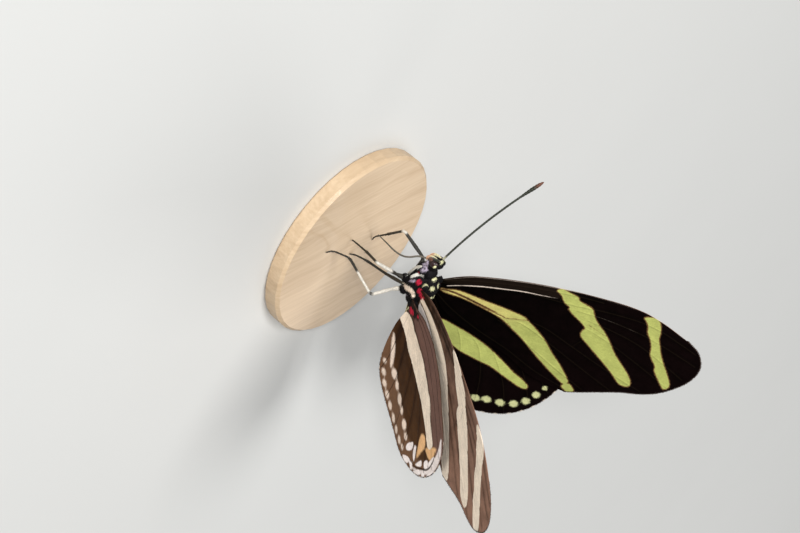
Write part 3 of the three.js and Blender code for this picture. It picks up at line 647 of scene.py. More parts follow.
def blend_colours(tree, factor, a, b, mode="MIX"):
    """Colour a where the factor is 0 and b where it is 1."""
    inputs = {0: factor, 6: a, 7: b}
    return add_node(tree, "ShaderNodeMix", inputs, data_type="RGBA", blend_type=mode).outputs[2]


def new_group(name, inputs, outputs):
    """A shader node group with named sockets, and its two end nodes."""
    group = bpy.data.node_groups.new(name, "ShaderNodeTree")
    kinds = {"value": "NodeSocketFloat", "vector": "NodeSocketVector"}
    for label, kind, default in inputs:
        socket = group.interface.new_socket(name=label, in_out="INPUT", socket_type=kinds[kind])
        if default is not None:
            socket.default_value = default
    for label, kind in outputs:
        group.interface.new_socket(name=label, in_out="OUTPUT", socket_type=kinds[kind])
    return group, group.nodes.new("NodeGroupInput"), group.nodes.new("NodeGroupOutput")


def ragged_mask_group():
    """Turns a marking's depth in millimetres into a mask with a slightly ragged edge."""
    group, start, end = new_group(
        "ragged mask",
        [("Depth", "value", 0.0), ("Place", "vector", None), ("Softness", "value", 0.08),
         ("Raggedness", "value", 0.12), ("Grain", "value", 3.0)],
        [("Mask", "value")],
    )
    given = start.outputs
    rough = noise(group, given["Place"], given["Grain"], 3.0, 0.7).outputs[0]
    shift = math_node(group, "MULTIPLY", math_node(group, "SUBTRACT", rough, 0.5), 2.0)
    shift = math_node(group, "MULTIPLY", shift, given["Raggedness"])
    depth = math_node(group, "ADD", given["Depth"], shift)
    outside = math_node(group, "MULTIPLY", given["Softness"], -1.0)
    set_inputs(group, end, {"Mask": eased(group, depth, outside, given["Softness"])})
    return group


def scale_rows_group():
    """Rows of tiny overlapping scales: their height and a change of shade from scale to scale."""
    group, start, end = new_group(
        "scale rows",
        [("Place", "vector", None), ("Density", "value", 8.0), ("Stretch", "value", 0.45)],
        [("Height", "value"), ("Shade", "value")],
    )
    given = start.outputs
    stretch = add_node(group, "ShaderNodeCombineXYZ", {0: given["Stretch"], 1: 1.0, 2: 1.0}).outputs[0]
    place = add_node(
        group, "ShaderNodeVectorMath", {0: given["Place"], 1: stretch}, operation="MULTIPLY",
    ).outputs[0]
    inputs = {"Vector": place, "Scale": given["Density"], "Randomness": 0.7}
    cells = add_node(group, "ShaderNodeTexVoronoi", inputs).outputs
    streaks = noise(group, place, math_node(group, "MULTIPLY", given["Density"], 0.22), 4.0).outputs[0]
    cell_shade = add_node(group, "ShaderNodeSeparateColor", {"Color": cells["Color"]}).outputs[0]
    halves = [math_node(group, "MULTIPLY", shade, 0.5) for shade in (cell_shade, streaks)]
    set_inputs(group, end, {
        "Height": math_node(group, "SUBTRACT", 1.0, cells["Distance"]),
        "Shade": math_node(group, "ADD", *halves),
    })
    return group


def fill_group(tree, name, inputs):
    """A shared group's node in a material, with its own values. The group is built once."""
    makers = {"ragged mask": ragged_mask_group, "scale rows": scale_rows_group}
    group = bpy.data.node_groups.get(name) or makers[name]()
    node = tree.nodes.new("ShaderNodeGroup")
    node.node_tree = group
    return set_inputs(tree, node, inputs)


def new_material(name, roughness, specular, coat=0.0):
    """A material with a plain Principled shader; the values given stay on its own sockets."""
    material = bpy.data.materials.new(name)
    material.use_nodes = True
    tree = material.node_tree
    shader = next(n for n in tree.nodes if n.type == "BSDF_PRINCIPLED")
    set_inputs(tree, shader, {"Roughness": roughness, "Specular IOR Level": specular, "Coat Weight": coat})
    return material, tree, shader


def bump(tree, height, strength, depth):
    """Normals for a height; the depth is in millimetres."""
    inputs = {"Height": height, "Strength": strength, "Distance": depth * MM}
    return add_node(tree, "ShaderNodeBump", inputs).outputs[0]


def opaque(colour, tone=1.0):
    """A paint as a socket's colour, made darker or lighter by the tone."""
    return (*(tone * c for c in tuple(colour)[:3]), 1.0)


def scale_pattern(tree, density, stretch=0.5):
    """The place that the mesh carries, and the rows of scales on it."""
    place = carried(tree, "lay", "Vector")
    scales = fill_group(tree, "scale rows", {"Place": place, "Density": density, "Stretch": stretch})
    return place, scales.outputs["Height"], scales.outputs["Shade"]


def depth_mask(tree, key, place, softness, ragged):
    """Mask of the marking whose depth the mesh carries under this name."""
    inputs = {"Depth": carried(tree, key), "Place": place, "Softness": softness, "Raggedness": ragged}
    return fill_group(tree, "ragged mask", inputs).outputs[0]


def shaded(tree, colour, shade, low, high):
    """The colour made darker or lighter by the shade."""
    tone = scaled(tree, shade, low, high)
    grey = add_node(tree, "ShaderNodeCombineColor", {0: tone, 1: tone, 2: tone}).outputs[0]
    return blend_colours(tree, 1.0, colour, grey, "MULTIPLY")


COVERED_VEINS = 0.7  # share of a vein's colour that the scales of a pale marking hide


def wing_ground(tree, blotches, near, far):
    """A wing's ground, which changes toward the outer edge, into the cells and in soft blotches."""
    outward = math_node(tree, "MULTIPLY", eased(tree, carried(tree, "reach"), 0.2, 0.95), 0.65)
    cell = eased(tree, carried(tree, "vein"), 0.2, 0.9, 0.0, 0.3)
    uneven = math_node(tree, "MULTIPLY", math_node(tree, "SUBTRACT", blotches, 0.5), 0.9)
    share = math_node(tree, "ADD", math_node(tree, "ADD", outward, cell), uneven)
    share = add_node(tree, "ShaderNodeClamp", {"Value": share}).outputs[0]
    return blend_colours(tree, share, opaque(near), opaque(far))


def wing_material(name, ground, layers, vein, vein_strength, shine):
    """A scaled wing face: its ground near and far from the root, its layers one over the other, its veins.

    A layer is the marking's name, its paint, or one near the root and one further out, the softness
    and raggedness of its edge in millimetres, and its strength.
    """
    material, tree, shader = new_material(name, 0.7, shine)
    place, scale_height, scale_shade = scale_pattern(tree, 7.0)
    blotches = noise(tree, place, 0.45, 5.0, 0.65).outputs[0]
    colour = wing_ground(tree, blotches, *ground)
    from_root = eased(tree, carried(tree, "reach"), 0.15, 0.5)
    covered = 0.0
    for key, paint, softness, ragged, strength in layers:
        mask = depth_mask(tree, key, place, softness, ragged)
        if key in ("band", "pale"):
            covered = math_node(tree, "MAXIMUM", mask, covered)
        if strength < 1:
            mask = math_node(tree, "MULTIPLY", mask, strength)
        if isinstance(paint, tuple):
            paint = blend_colours(tree, from_root, opaque(paint[0]), opaque(paint[1]))
        else:
            paint = opaque(paint)
        colour = blend_colours(tree, mask, colour, paint)
    rib = eased(tree, carried(tree, "vein"), 0.03, 0.13, vein_strength, 0.0)
    bare = math_node(tree, "SUBTRACT", 1.0, math_node(tree, "MULTIPLY", covered, COVERED_VEINS))
    colour = blend_colours(tree, math_node(tree, "MULTIPLY", rib, bare), colour, opaque(vein))
    line = depth_mask(tree, "line", place, 0.06, 0.05)
    colour = blend_colours(tree, line, colour, opaque(paints().upper_line))
    colour = shaded(tree, colour, blotches, 0.65, 1.3)
    height = math_node(tree, "ADD", scale_height, math_node(tree, "MULTIPLY", blotches, 1.5))
    set_inputs(tree, shader, {
        "Base Color": shaded(tree, colour, scale_shade, 0.82, 1.15),
        "Roughness": scaled(tree, scale_shade, 0.55, 0.85),
        "Normal": bump(tree, height, 0.25, 0.02),
    })
    return material


def body_material(name, roughness):
    """Black cuticle and down with the body's pale, crimson, cream, lilac and white markings."""
    p = paints()
    material, tree, shader = new_material(name, roughness, 0.06)
    place, scale_height, scale_shade = scale_pattern(tree, 6.0)
    colour = blend_colours(tree, scale_shade, opaque(p.black), opaque(p.body_sheen))
    for key, paint, softness, ragged in (
        ("lilac", p.lilac, 0.14, 0.3), ("cream", p.cream, 0.1, 0.12), ("white", p.white, 0.07, 0.08),
        ("pale", p.body_spot, 0.07, 0.06), ("crimson", p.crimson, 0.08, 0.08),
    ):
        colour = blend_colours(tree, depth_mask(tree, key, place, softness, ragged), colour, opaque(paint))
    set_inputs(tree, shader, {
        "Base Color": shaded(tree, colour, scale_shade, 0.65, 1.25),
        "Normal": bump(tree, scale_height, 0.5, 0.05),
    })
    return material


def limb_material(name, dark, light, tip, roughness=0.45):
    """A leg or feeler: dark cuticle with pale scaled stretches and a coloured tip."""
    material, tree, shader = new_material(name, roughness, 0.3)
    place, scale_height, scale_shade = scale_pattern(tree, 9.0)
    colour = blend_colours(tree, scale_shade, opaque(dark), opaque(dark, 2.2))
    colour = blend_colours(tree, depth_mask(tree, "pale", place, 0.3, 0.25), colour, opaque(light))
    colour = blend_colours(tree, carried(tree, "tip"), colour, opaque(tip))
    set_inputs(tree, shader, {
        "Base Color": shaded(tree, colour, scale_shade, 0.65, 1.2),
        "Normal": bump(tree, scale_height, 0.5, 0.03),
    })
    return material


class LongwingPaints(bpy.types.PropertyGroup):
    """Colours of the butterfly and its base."""

    def paint(label, text, default):
        return FloatVectorProperty(
            name=label, description=text, default=default, subtype="COLOR", size=3, min=0.0, max=1.0
        )

    black: paint("Black", "Black of the body's down", (0.006, 0.005, 0.005))
    body_sheen: paint("Body Sheen", "Lighter hairs among the black", (0.013, 0.012, 0.014))
    body_spot: paint("Body Spot", "Pale spots of the head and thorax", (0.66, 0.64, 0.38))
    crimson: paint("Crimson", "Spots at the wing bases", (0.5, 0.02, 0.05))
    cream: paint("Cream", "Cream patches of the thorax side", (0.92, 0.76, 0.62))
    lilac: paint("Lilac", "Greyish scales of the neck", (0.5, 0.43, 0.53))
    white: paint("White", "White streaks of the thorax side", (0.85, 0.83, 0.76))
    upper_ground: paint("Upper Ground", "Near black of the wings' upper faces", (0.0016, 0.0012, 0.001))
    upper_far: paint("Upper Ground Outside", "Ground toward the outer edge", (0.004, 0.002, 0.002))
    upper_band: paint("Upper Band", "Bands of the forewing's upper face", (0.385, 0.405, 0.115))
    upper_gold: paint("Upper Gold", "The upper stripe near the wing's root", (0.54, 0.46, 0.155))
    upper_spot: paint("Upper Spot", "Spots along the hindwing's edge", (0.54, 0.54, 0.27))
    upper_front: paint("Upper Front", "Brown behind the forewing's front edge", (0.011, 0.007, 0.005))
    hind_band: paint("Hindwing Band", "Band of the hindwing's upper face", (0.41, 0.435, 0.125))
    upper_edge: paint("Band Edge", "Rusty scales along a band's edge", (0.24, 0.13, 0.05))
    upper_line: paint("Upper Line", "Pale vein and front rim of the forewing", (0.6, 0.5, 0.42))
    lower_ground: paint("Lower Ground", "Brown of the wings' undersides", (0.022, 0.009, 0.004))
    lower_far: paint("Lower Ground Outside", "Mauve brown toward the forewing's tip", (0.27, 0.147, 0.1))
    lower_warm: paint("Lower Warm Ground", "Warm brown in the hindwing's cells", (0.075, 0.032, 0.011))
    lower_outer: paint("Lower Outer Zone", "Paler brown outside the inner row of spots", (0.19, 0.1, 0.056))
    lower_front: paint("Lower Front Zone", "Mauve brown before the hindwing's band", (0.17, 0.094, 0.075))
    lower_band: paint("Lower Band", "Cream bands of the undersides", (0.84, 0.71, 0.57))
    silver: paint("Silver", "Silvery white part of the underside's stripe", (0.95, 0.85, 0.81))
    lower_spot: paint("Lower Spot", "Spots of the undersides", (0.84, 0.68, 0.56))
    upper_vein: paint("Upper Vein", "Veins of the wings' upper faces", (0.02, 0.014, 0.008))
    lower_vein: paint("Lower Vein", "Veins of the wings' undersides", (0.02, 0.01, 0.006))
    fringe: paint("Fringe", "Dark hairs of the wings' fringe", (0.03, 0.017, 0.012))
    peach: paint("Peach", "Two warm patches near the hindwing's outer corner", (0.85, 0.5, 0.24))
    eye: paint("Eye", "Dark red brown of the eyes", (0.02, 0.007, 0.007))
    palp: paint("Palp", "Root of the palps", (0.5, 0.26, 0.15))
    palp_light: paint("Palp Light", "Peach scales of the palps", (0.8, 0.5, 0.32))
    palp_tip: paint("Palp Tip", "Pale yellow tip of the palps", (0.8, 0.8, 0.52))
    proboscis: paint("Proboscis", "Dark horn of the proboscis", (0.05, 0.045, 0.035))
    proboscis_light: paint("Proboscis Light", "Lighter stretch of the proboscis", (0.2, 0.18, 0.15))
    leg_dark: paint("Leg Dark", "Dark stretches of the legs", (0.02, 0.018, 0.014))
    leg_light: paint("Leg Light", "Whitish stretches of the legs", (0.72, 0.68, 0.6))
    antenna: paint("Antenna", "Shaft of the feelers", (0.008, 0.01, 0.004))
    antenna_light: paint("Antenna Light", "Pale scales at the feelers' roots", (0.4, 0.38, 0.25))
    antenna_tip: paint("Antenna Tip", "Tip of the feelers", (0.12, 0.04, 0.02))
    wood: paint("Wood", "Pale wood of the base", (0.66, 0.5, 0.33))
    wood_grain: paint("Wood Grain", "Darker grain of the base", (0.5, 0.35, 0.21))
    floor: paint("Floor", "Pale floor", (0.64, 0.64, 0.62))


class LongwingSizes(bpy.types.PropertyGroup):
    """Sizes of the butterfly's visible pieces."""

    def size(label, text, millimetres):
        return FloatProperty(
            name=label, description=text, default=millimetres * MM, min=0.001 * MM, precision=6,
            subtype="DISTANCE", unit="LENGTH",
        )

    wing_thickness: size("Wing Thickness", "Thickness of the membranes", 0.12)
    vein_rise: size("Vein Rise", "Height of a vein above the membrane", 0.055)
    vein_half: size("Vein Half Width", "Half width of a vein's foot", 0.2)
    pleat: size("Pleat", "Sag of the membrane between two veins", 0.05)
    skin_grain: size("Skin Grain", "Size of the skin's faces", 0.1)
    femur: size("Femur Radius", "Radius of a femur", 0.27)
    tibia: size("Tibia Radius", "Radius of a tibia", 0.2)
    tarsus: size("Tarsus Radius", "Radius of a tarsus", 0.15)
    antenna: size("Antenna Radius", "Radius of a feeler's shaft", 0.165)
    antenna_club: size("Antenna Club Radius", "Radius of a feeler's club", 0.3)
    proboscis: size("Proboscis Radius", "Radius of the proboscis", 0.15)
    fringe: size("Fringe", "Length of the wings' fringe", 0.3)
    wing_steps: IntProperty(
        name="Wing Steps", description="Rows from a wing's root to its edge", default=200, min=20,
    )
    wing_fill: IntProperty(name="Wing Fill", description="Lines between two veins", default=7, min=1)


def paints():
    """The panel's colours."""
    return bpy.context.scene.longwing_paints


def sizes():
    """The panel's sizes, with the lengths in millimetres like the tables."""
    group = bpy.context.scene.longwing_sizes
    values = {key: getattr(group, key) for key in group.__annotations__}
    return SimpleNamespace(**{
        key: value if isinstance(value, int) else round(value / MM, 5) for key, value in values.items()
    })


def wing_markings(flat, kind, face):
    """Depth of every marking at template points, for one face of one wing."""
    marks = MARKINGS[kind, face]
    depth = {
        "band": area_depth(flat, marks["band"]),
        "spots": spot_depth(flat, marks.get("spots", [])),
        "crimson": spot_depth(flat, marks.get("crimson", [])),
        "root": spot_depth(flat, marks.get("root", [])),
    }
    depth["spots"] = np.maximum(depth["spots"], stroke_depth(flat, marks.get("streaks", [])))
    wide = area_depth(flat, marks.get("wide_band", [])) + LOWER_BAND_GROWTH
    cuts = stroke_depth(flat, marks.get("cuts", []))
    depth["band"] = np.minimum(np.maximum(depth["band"], wide), -cuts)
    depth["edge"] = depth["band"] + RUSTY_EDGE
    for key in ("pale", "silver", "peach", "outer", "front"):
        depth[key] = area_depth(flat, marks.get(key, []))
    depth["silver"] = np.minimum(depth["silver"], -cuts)
    for key in ("line", "margin", "rim"):
        depth[key] = stroke_depth(flat, marks.get(key, []))
    return depth


def wing_sheet(kind, word):
    """Points, faces, face slots and attributes of one wing, upper face first."""
    wing, place = WINGS[kind]
    steps = sizes().wing_steps // 1
    columns, veins = fan(wing, steps, sizes().wing_fill)
    lines, rows = columns.shape[:2]
    flat = columns.reshape(-1, 2)
    count = len(flat)
    vein = np.full(count, FAR)
    for points in veins.values():
        distance, _ = line_distance(flat, points[:: max(1, len(points) // 40)])
        vein = np.minimum(vein, distance)
    reach = np.tile(np.linspace(0, 1, rows), lines)
    u, v = flat.T
    centre = place(u, v, word)
    normal = wing_normals(place, u, v, word)
    half = sizes().wing_thickness / 2 * (1 - EDGE_THINNING * smooth(reach, THIN_FROM, 1))
    ridge = sizes().vein_rise * smooth(-vein, -sizes().vein_half, 0) * (1 - smooth(reach, VEINS_SINK_FROM, 1))
    sag = sizes().pleat * smooth(vein, SAG_FROM, SAG_TO) * np.sin(np.pi * reach)
    shift = SHEET_SHIFT[kind]
    upper = centre + normal * (shift + half + ridge - sag)[:, None]
    lower = centre + normal * (shift - half - ridge - sag)[:, None]
    points = np.vstack([upper, lower])
    quads = grid_faces(lines, rows)
    number = np.arange(count).reshape(lines, rows)
    rim = np.concatenate([number[0, :-1], number[:-1, -1], number[-1, :0:-1], number[:0:-1, 0]])
    after = np.roll(rim, -1)
    edge = np.stack([rim, after, after + count, rim + count], -1)
    faces = np.vstack([quads[:, ::-1], quads + count, edge])
    slots = np.arange(len(faces)) >= len(quads)
    if word == "right":
        points[:, 0] *= -1
    else:
        faces = faces[:, ::-1]
    above, below = (wing_markings(flat, kind, face) for face in ("upper", "lower"))
    attributes = {key: np.concatenate([above[key], below[key]]) for key in above}
    attributes["vein"] = np.tile(vein, 2)
    attributes["reach"] = np.tile(reach, 2)
    lay = np.column_stack([flat, np.zeros(count)])
    attributes["lay"] = np.vstack([lay, lay + [0, 0, UNDERSIDE_PLACE]])
    return points, faces, slots, attributes


def fringe_roots(kind, word):
    """Roots, directions, normals and template points of the short hairs along a wing's outer edge."""
    wing, place = WINGS[kind]
    line = along(spline(wing["edge"], CURVE_STEPS), np.linspace(0, 1, FRINGE_HAIRS))
    way = unit(np.gradient(line, axis=0))
    outward = np.column_stack([way[:, 1], -way[:, 0]])
    outward *= np.sign(((line - line.mean(0)) * outward).sum(1))[:, None]
    root = place(*line.T, word)
    normal = wing_normals(place, *line.T, word)
    direction = unit(place(*(line + outward * NUDGE).T, word) - root)
    root = root + normal * SHEET_SHIFT[kind]
    if word == "right":
        for part in (root, direction, normal):
            part[:, 0] *= -1
    return root, direction, normal, line


# A tuft is a closed three-sided spike: its share of length and of width at each ring, and its ridge.
TUFT_RINGS = ((0.0, 1.0), (0.5, 0.8))
TUFT_RIDGE = 0.8
TUFT_POINTS = 7


def tuft_mesh(root, direction, normal, length, width, curl):
    """Points and faces of thin closed three-sided tufts that taper and bend to the surface."""
    side = unit(np.cross(direction, normal))
    lift = unit(np.cross(side, direction))
    rings = []
    for share, wide in TUFT_RINGS:
        middle = root + direction * (length * share)[:, None] - normal * (curl * share**2)[:, None]
        half = (width * wide / 2)[:, None]
        rings += [middle - side * half, middle + side * half, middle + lift * half * TUFT_RIDGE]
    rings.append(root + direction * length[:, None] - normal * curl[:, None])
    points = np.stack(rings, 1).reshape(-1, 3)
    start = (np.arange(len(root)) * TUFT_POINTS)[:, None]
    quads = np.vstack([start + corners for corners in ([0, 1, 4, 3], [1, 2, 5, 4], [2, 0, 3, 5])])
    tris = np.vstack([start + corners for corners in ([3, 4, 6], [4, 5, 6], [5, 3, 6], [0, 2, 1])])
    return points, [quads, tris]


# The seven points of a tuft on the OFBake map, in a square patch of this size.
TUFT_PATCH = np.array([[0, 0], [1, 0], [0.5, 0.2], [0, 0.6], [1, 0.6], [0.5, 0.8], [0.5, 1.0]])
PATCH_SIZE = 0.003
MAP_LOW, MAP_HIGH = 0.01, 0.985
BODY_AXIS_BELOW = 1.6  # the body's long axis under the hinge line,
BODY_NOSE, BODY_SPREAD = 8.0, 32.0  # and the stretch along it that the map takes up


def hair_patch(place):
    """OFBake places of tufts: each a small patch at its root's place on its surface unrolled."""
    place = np.clip(place, MAP_LOW, MAP_HIGH)
    return (place[:, None, :] + TUFT_PATCH[None] * PATCH_SIZE).reshape(-1, 2)


def body_unrolled(root):
    """Places on the body cut along its belly and laid flat, from nose to tail."""
    around = np.arctan2(root[:, 0], root[:, 2] + BODY_AXIS_BELOW) / (2 * np.pi) + 0.5
    return np.column_stack([around, (root[:, 1] + BODY_NOSE) / BODY_SPREAD])


HAIR_WIDTH = 0.045
HAIR_SPREAD = 0.1  # how far the hairs stray from their common direction


def tube_hair(points, line, sides, roots, length, lift, curl, rng):
    """Short hairs that lie along a tube: their mesh, and each one's place among the tube's points.

    The roots are the first and last of the tube's points that carry hair and how many hairs there
    are; the length is a middle length, and the least and greatest share of it.
    """
    number = rng.integers(*roots)
    row = number // sides
    root = points[number]
    normal = unit(root - line[row])
    way = unit(np.gradient(line, axis=0))[row]
    direction = unit(way + lift * normal + rng.normal(0, HAIR_SPREAD, root.shape))
    middle, least, most = length
    long = middle * rng.uniform(least, most, len(root))
    return tuft_mesh(root, direction, normal, long, np.full(len(root), HAIR_WIDTH), curl * long), number


def add_tufts(name, tufts, place, material, attributes):
    """One piece of tufts that rides on the body; each attribute holds one value for each tuft."""
    points, faces = tufts
    spread = {key: np.repeat(value, TUFT_POINTS, axis=0) for key, value in attributes.items()}
    obj = make_object(name, points, faces, [material], spread, uv=hair_patch(place))
    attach(obj, "root")


class LONGWING_OT_wings(bpy.types.Operator):
    """Build the four wings with their veins, bands and spots"""

    bl_idname = "longwing.wings"
    bl_label = "Wings"

    def execute(self, context):
        for kind in KINDS:
            materials = [self.upper_material(kind), self.lower_material(kind)]
            for word in SIDES:
                points, faces, slots, attributes = wing_sheet(kind, word)
                obj = make_object(f"{kind}wing_sheet_{word}", points, faces, materials, attributes, slots)
                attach(obj, "root")
                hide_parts(f"{kind}wing_{word}")
        return {"FINISHED"}

    def upper_material(self, kind):
        p = paints()
        band = (p.upper_gold, p.upper_band) if kind == "fore" else p.hind_band
        layers = (
            ("front", p.upper_front, 0.3, 0.2, 0.85), ("rim", p.upper_line, 0.05, 0.04, 0.5),
            ("edge", p.upper_edge, 0.12, 0.22, 0.65), ("band", band, 0.08, 0.13, 1.0),
            ("spots", p.upper_spot, 0.2, 0.3, 1.0),
        )
        ground = (p.upper_ground, p.upper_far)
        return wing_material(f"{kind}wing upper", ground, layers, p.upper_vein, 0.25, 0.0)

    def lower_material(self, kind):
        p = paints()
        layers = (
            ("outer", p.lower_outer, 0.7, 0.5, 0.8), ("front", p.lower_front, 0.5, 0.4, 0.8),
            ("peach", p.peach, 0.25, 0.2, 0.95), ("band", p.lower_band, 0.09, 0.12, 1.0),
            ("silver", p.silver, 0.15, 0.1, 0.9), ("spots", p.lower_spot, 0.26, 0.2, 1.0),
            ("pale", p.silver, 0.12, 0.12, 1.0), ("rim", p.silver, 0.2, 0.15, 0.85),
            ("margin", p.lower_ground, 0.1, 0.06, 0.9), ("root", p.black, 0.3, 0.15, 0.95),
            ("crimson", p.crimson, 0.16, 0.16, 1.0),
        )
        ground = (p.lower_ground, p.lower_far if kind == "fore" else p.lower_warm)
        return wing_material(f"{kind}wing lower", ground, layers, p.lower_vein, 0.75, 0.04)


class LONGWING_OT_fringe(bpy.types.Operator):
    """Build the short fringe along the wings' outer edges"""

    bl_idname = "longwing.fringe"
    bl_label = "Wing Fringe"

    def execute(self, context):
        p = paints()
        material = limb_material("wing fringe", p.fringe, p.lower_band, p.fringe, roughness=0.7)
        rng = np.random.default_rng(SEEDS["fringe"])
        for kind in KINDS:
            for word in SIDES:
                root, direction, normal, line = fringe_roots(kind, word)
                count = len(root)
                length = sizes().fringe * rng.uniform(0.7, 1.15, count)
                lean = rng.normal(0, 0.15, (count, 3))
                tufts = tuft_mesh(
                    root - direction * 0.08, unit(direction + lean), normal, length,
                    np.full(count, 0.08), rng.normal(0, 0.03, count),
                )
                # The hindwing's fringe is pale in a row of short stretches.
                light = np.full(count, -0.4) + 0.55 * np.sin(np.arange(count) * 0.13) * (kind == "hind")
                lay = np.column_stack([line, np.zeros(count)])
                marks = {"pale": light, "tip": np.zeros(count), "lay": lay}
                place = line / 60 + [0.1, 0.3]
                add_tufts(f"{kind}wing_fringe_{word}", tufts, place, material, marks)
        return {"FINISHED"}


def ellipsoid(centre, size, around=32, down=20):
    """Points and faces of a closed ellipsoid."""
    turn = np.linspace(0, 2 * np.pi, around, endpoint=False)
    fall = np.linspace(0, np.pi, down + 1)[1:-1]
    ring = np.stack([
        np.outer(np.sin(fall), np.cos(turn)), np.outer(np.sin(fall), np.sin(turn)),
        np.outer(np.cos(fall), np.ones(around)),
    ], -1).reshape(-1, 3)
    verts = np.vstack([ring, [[0, 0, 1], [0, 0, -1]]]) * np.array(size) + np.array(centre)
    quads = grid_faces(down - 1, around, wrap=True)[:, ::-1]
    k = np.arange(around)
    nxt = (k + 1) % around
    top = np.stack([k, nxt, np.full(around, len(ring))], -1)
    last = (down - 2) * around
    low = np.stack([last + nxt, last + k, np.full(around, len(ring) + 1)], -1)
    return verts, [quads, np.vstack([top, low])], np.zeros(len(verts))


ABDOMEN_START = np.array([0.0, 3.6, -1.75])
ABDOMEN_TIP = np.array([0.0, 22.75, -0.6])
ABDOMEN_RADIUS = 1.36
ABDOMEN_ARCH = 0.25
ABDOMEN_DEEPER = 1.06  # height over width
ABDOMEN_RINGS = 8

# Forms melted into the skin, each a centre and three half sizes, a little inside the solids.
MIDDLE_FORMS = (
    ((0, -5.42, -0.45), (1.06, 0.88, 1.3)),  # head
    ((0, -5.1, -1.2), (0.74, 0.78, 0.68)),  # chin
    ((0, -4.3, -1.0), (0.75, 0.95, 0.85)),  # neck
    ((0, -2.95, -1.5), (1.5, 1.15, 1.65)),  # front of the thorax
    ((0, 0.5, -1.75), (2.28, 3.45, 2.65)),  # thorax
    ((0, -0.3, -0.3), (1.6, 2.4, 1.35)),  # back
    ((0, 2.3, -0.55), (1.1, 1.0, 0.9)),  # hind end of the back
    ((0, 3.3, -1.8), (1.6, 1.1, 1.75)),  # waist
)
SIDE_FORMS = (  # on the left, and mirrored on the right
    ((1.7, 0.2, -0.3), (0.85, 1.75, 0.75)),  # root of the forewing
    ((1.75, 2.0, -1.3), (0.8, 1.2, 0.85)),  # root of the hindwing
    ((1.75, -1.35, 0.15), (0.5, 0.75, 0.4)),  # shoulder
    ((0.42, -6.2, 0.25), (0.3, 0.3, 0.3)),  # socket of the feeler
    ((0.93, -5.36, 0.15), (0.42, 0.5, 0.46)),  # brow
    ((0.88, -5.02, -0.45), (0.46, 0.38, 0.9)),  # rim behind the eye
    ((0.86, -5.2, -1.12), (0.5, 0.48, 0.52)),  # cheek
    ((1.2, 0.1, -4.1), (0.55, 0.8, 0.75)),  # hip of the middle leg
    ((1.1, 2.4, -3.9), (0.55, 0.8, 0.75)),  # hip of the hind leg
)


def abdomen_radius(t):
    """Radius at shares of the abdomen's length: waist, taper, rounded end and the steps between its rings."""
    waist = lerp(0.86, 1.0, smooth(t, 0.02, 0.2))
    taper = 1 - 0.42 * smooth(t, 0.45, 1)
    end = np.sqrt(np.clip(1 - (np.clip(t - 0.94, 0, 1) / 0.06) ** 2, 0.0004, 1))
    phase = (t * ABDOMEN_RINGS) % 1
    step = 1 - 0.045 * smooth(phase, 0.82, 0.98) - 0.02 * (1 - phase)
    return ABDOMEN_RADIUS * waist * taper * end * step


def skin_parts():
    """Rounded forms of the head, neck, thorax and abdomen."""
    parts = [ellipsoid(centre, half_sizes) for centre, half_sizes in MIDDLE_FORMS]
    for side in SIDES.values():
        parts += [ellipsoid((side * x, y, z), half_sizes) for (x, y, z), half_sizes in SIDE_FORMS]
    t = np.linspace(0, 1, 170)
    axis = ABDOMEN_START + (ABDOMEN_TIP - ABDOMEN_START) * t[:, None]
    axis[:, 2] += ABDOMEN_ARCH * np.sin(np.pi * t)
    parts.append(tube(axis, abdomen_radius(t), 40, flatten=ABDOMEN_DEEPER))
    return parts


def fused(parts, grain, rounds):
    """Points and faces of the parts melted into one closed surface and relaxed."""
    verts, faces, _ = join_parts(parts)
    mesh = bpy.data.meshes.new("skin melt")
    mesh.from_pydata(verts.tolist(), [], [tuple(f) for group in faces for f in group.tolist()])
    obj = bpy.data.objects.new("skin melt", mesh)
    bpy.context.scene.collection.objects.link(obj)
    remesh = obj.modifiers.new("melt", "REMESH")
    remesh.mode = "VOXEL"
    remesh.voxel_size = grain
    relax = obj.modifiers.new("relax", "SMOOTH")
    relax.factor = 0.5
    relax.iterations = rounds
    ready = obj.evaluated_get(bpy.context.evaluated_depsgraph_get())
    done = ready.to_mesh()
    co = np.empty(len(done.vertices) * 3)
    done.vertices.foreach_get("co", co)
    corner = np.empty(len(done.loops), np.int32)
    done.loops.foreach_get("vertex_index", corner)
    total = np.empty(len(done.polygons), np.int32)
    done.polygons.foreach_get("loop_total", total)
    starts = np.concatenate([[0], np.cumsum(total)[:-1]])
    groups = [corner[starts[total == n][:, None] + np.arange(n)] for n in (4, 3)]
    ready.to_mesh_clear()
    bpy.data.objects.remove(obj)
    bpy.data.meshes.remove(mesh)
    return co.reshape(-1, 3), [group for group in groups if len(group)]


# Pale lines along the abdomen: degrees above its side, half width. They fade by so much a degree.
ABDOMEN_LINES = ((-12, 0.26), (-52, 0.2))
LINE_FADE = 0.024
# A thin pale ring near the end of each joint, which fades toward back and belly.
RING_HALF, RING_AT, RING_FADE = 0.12, 0.86, 2.3
RING_SIDE, RING_SIDE_FADE = 60, 0.02
ABDOMEN_PATTERN_FROM = 0.06


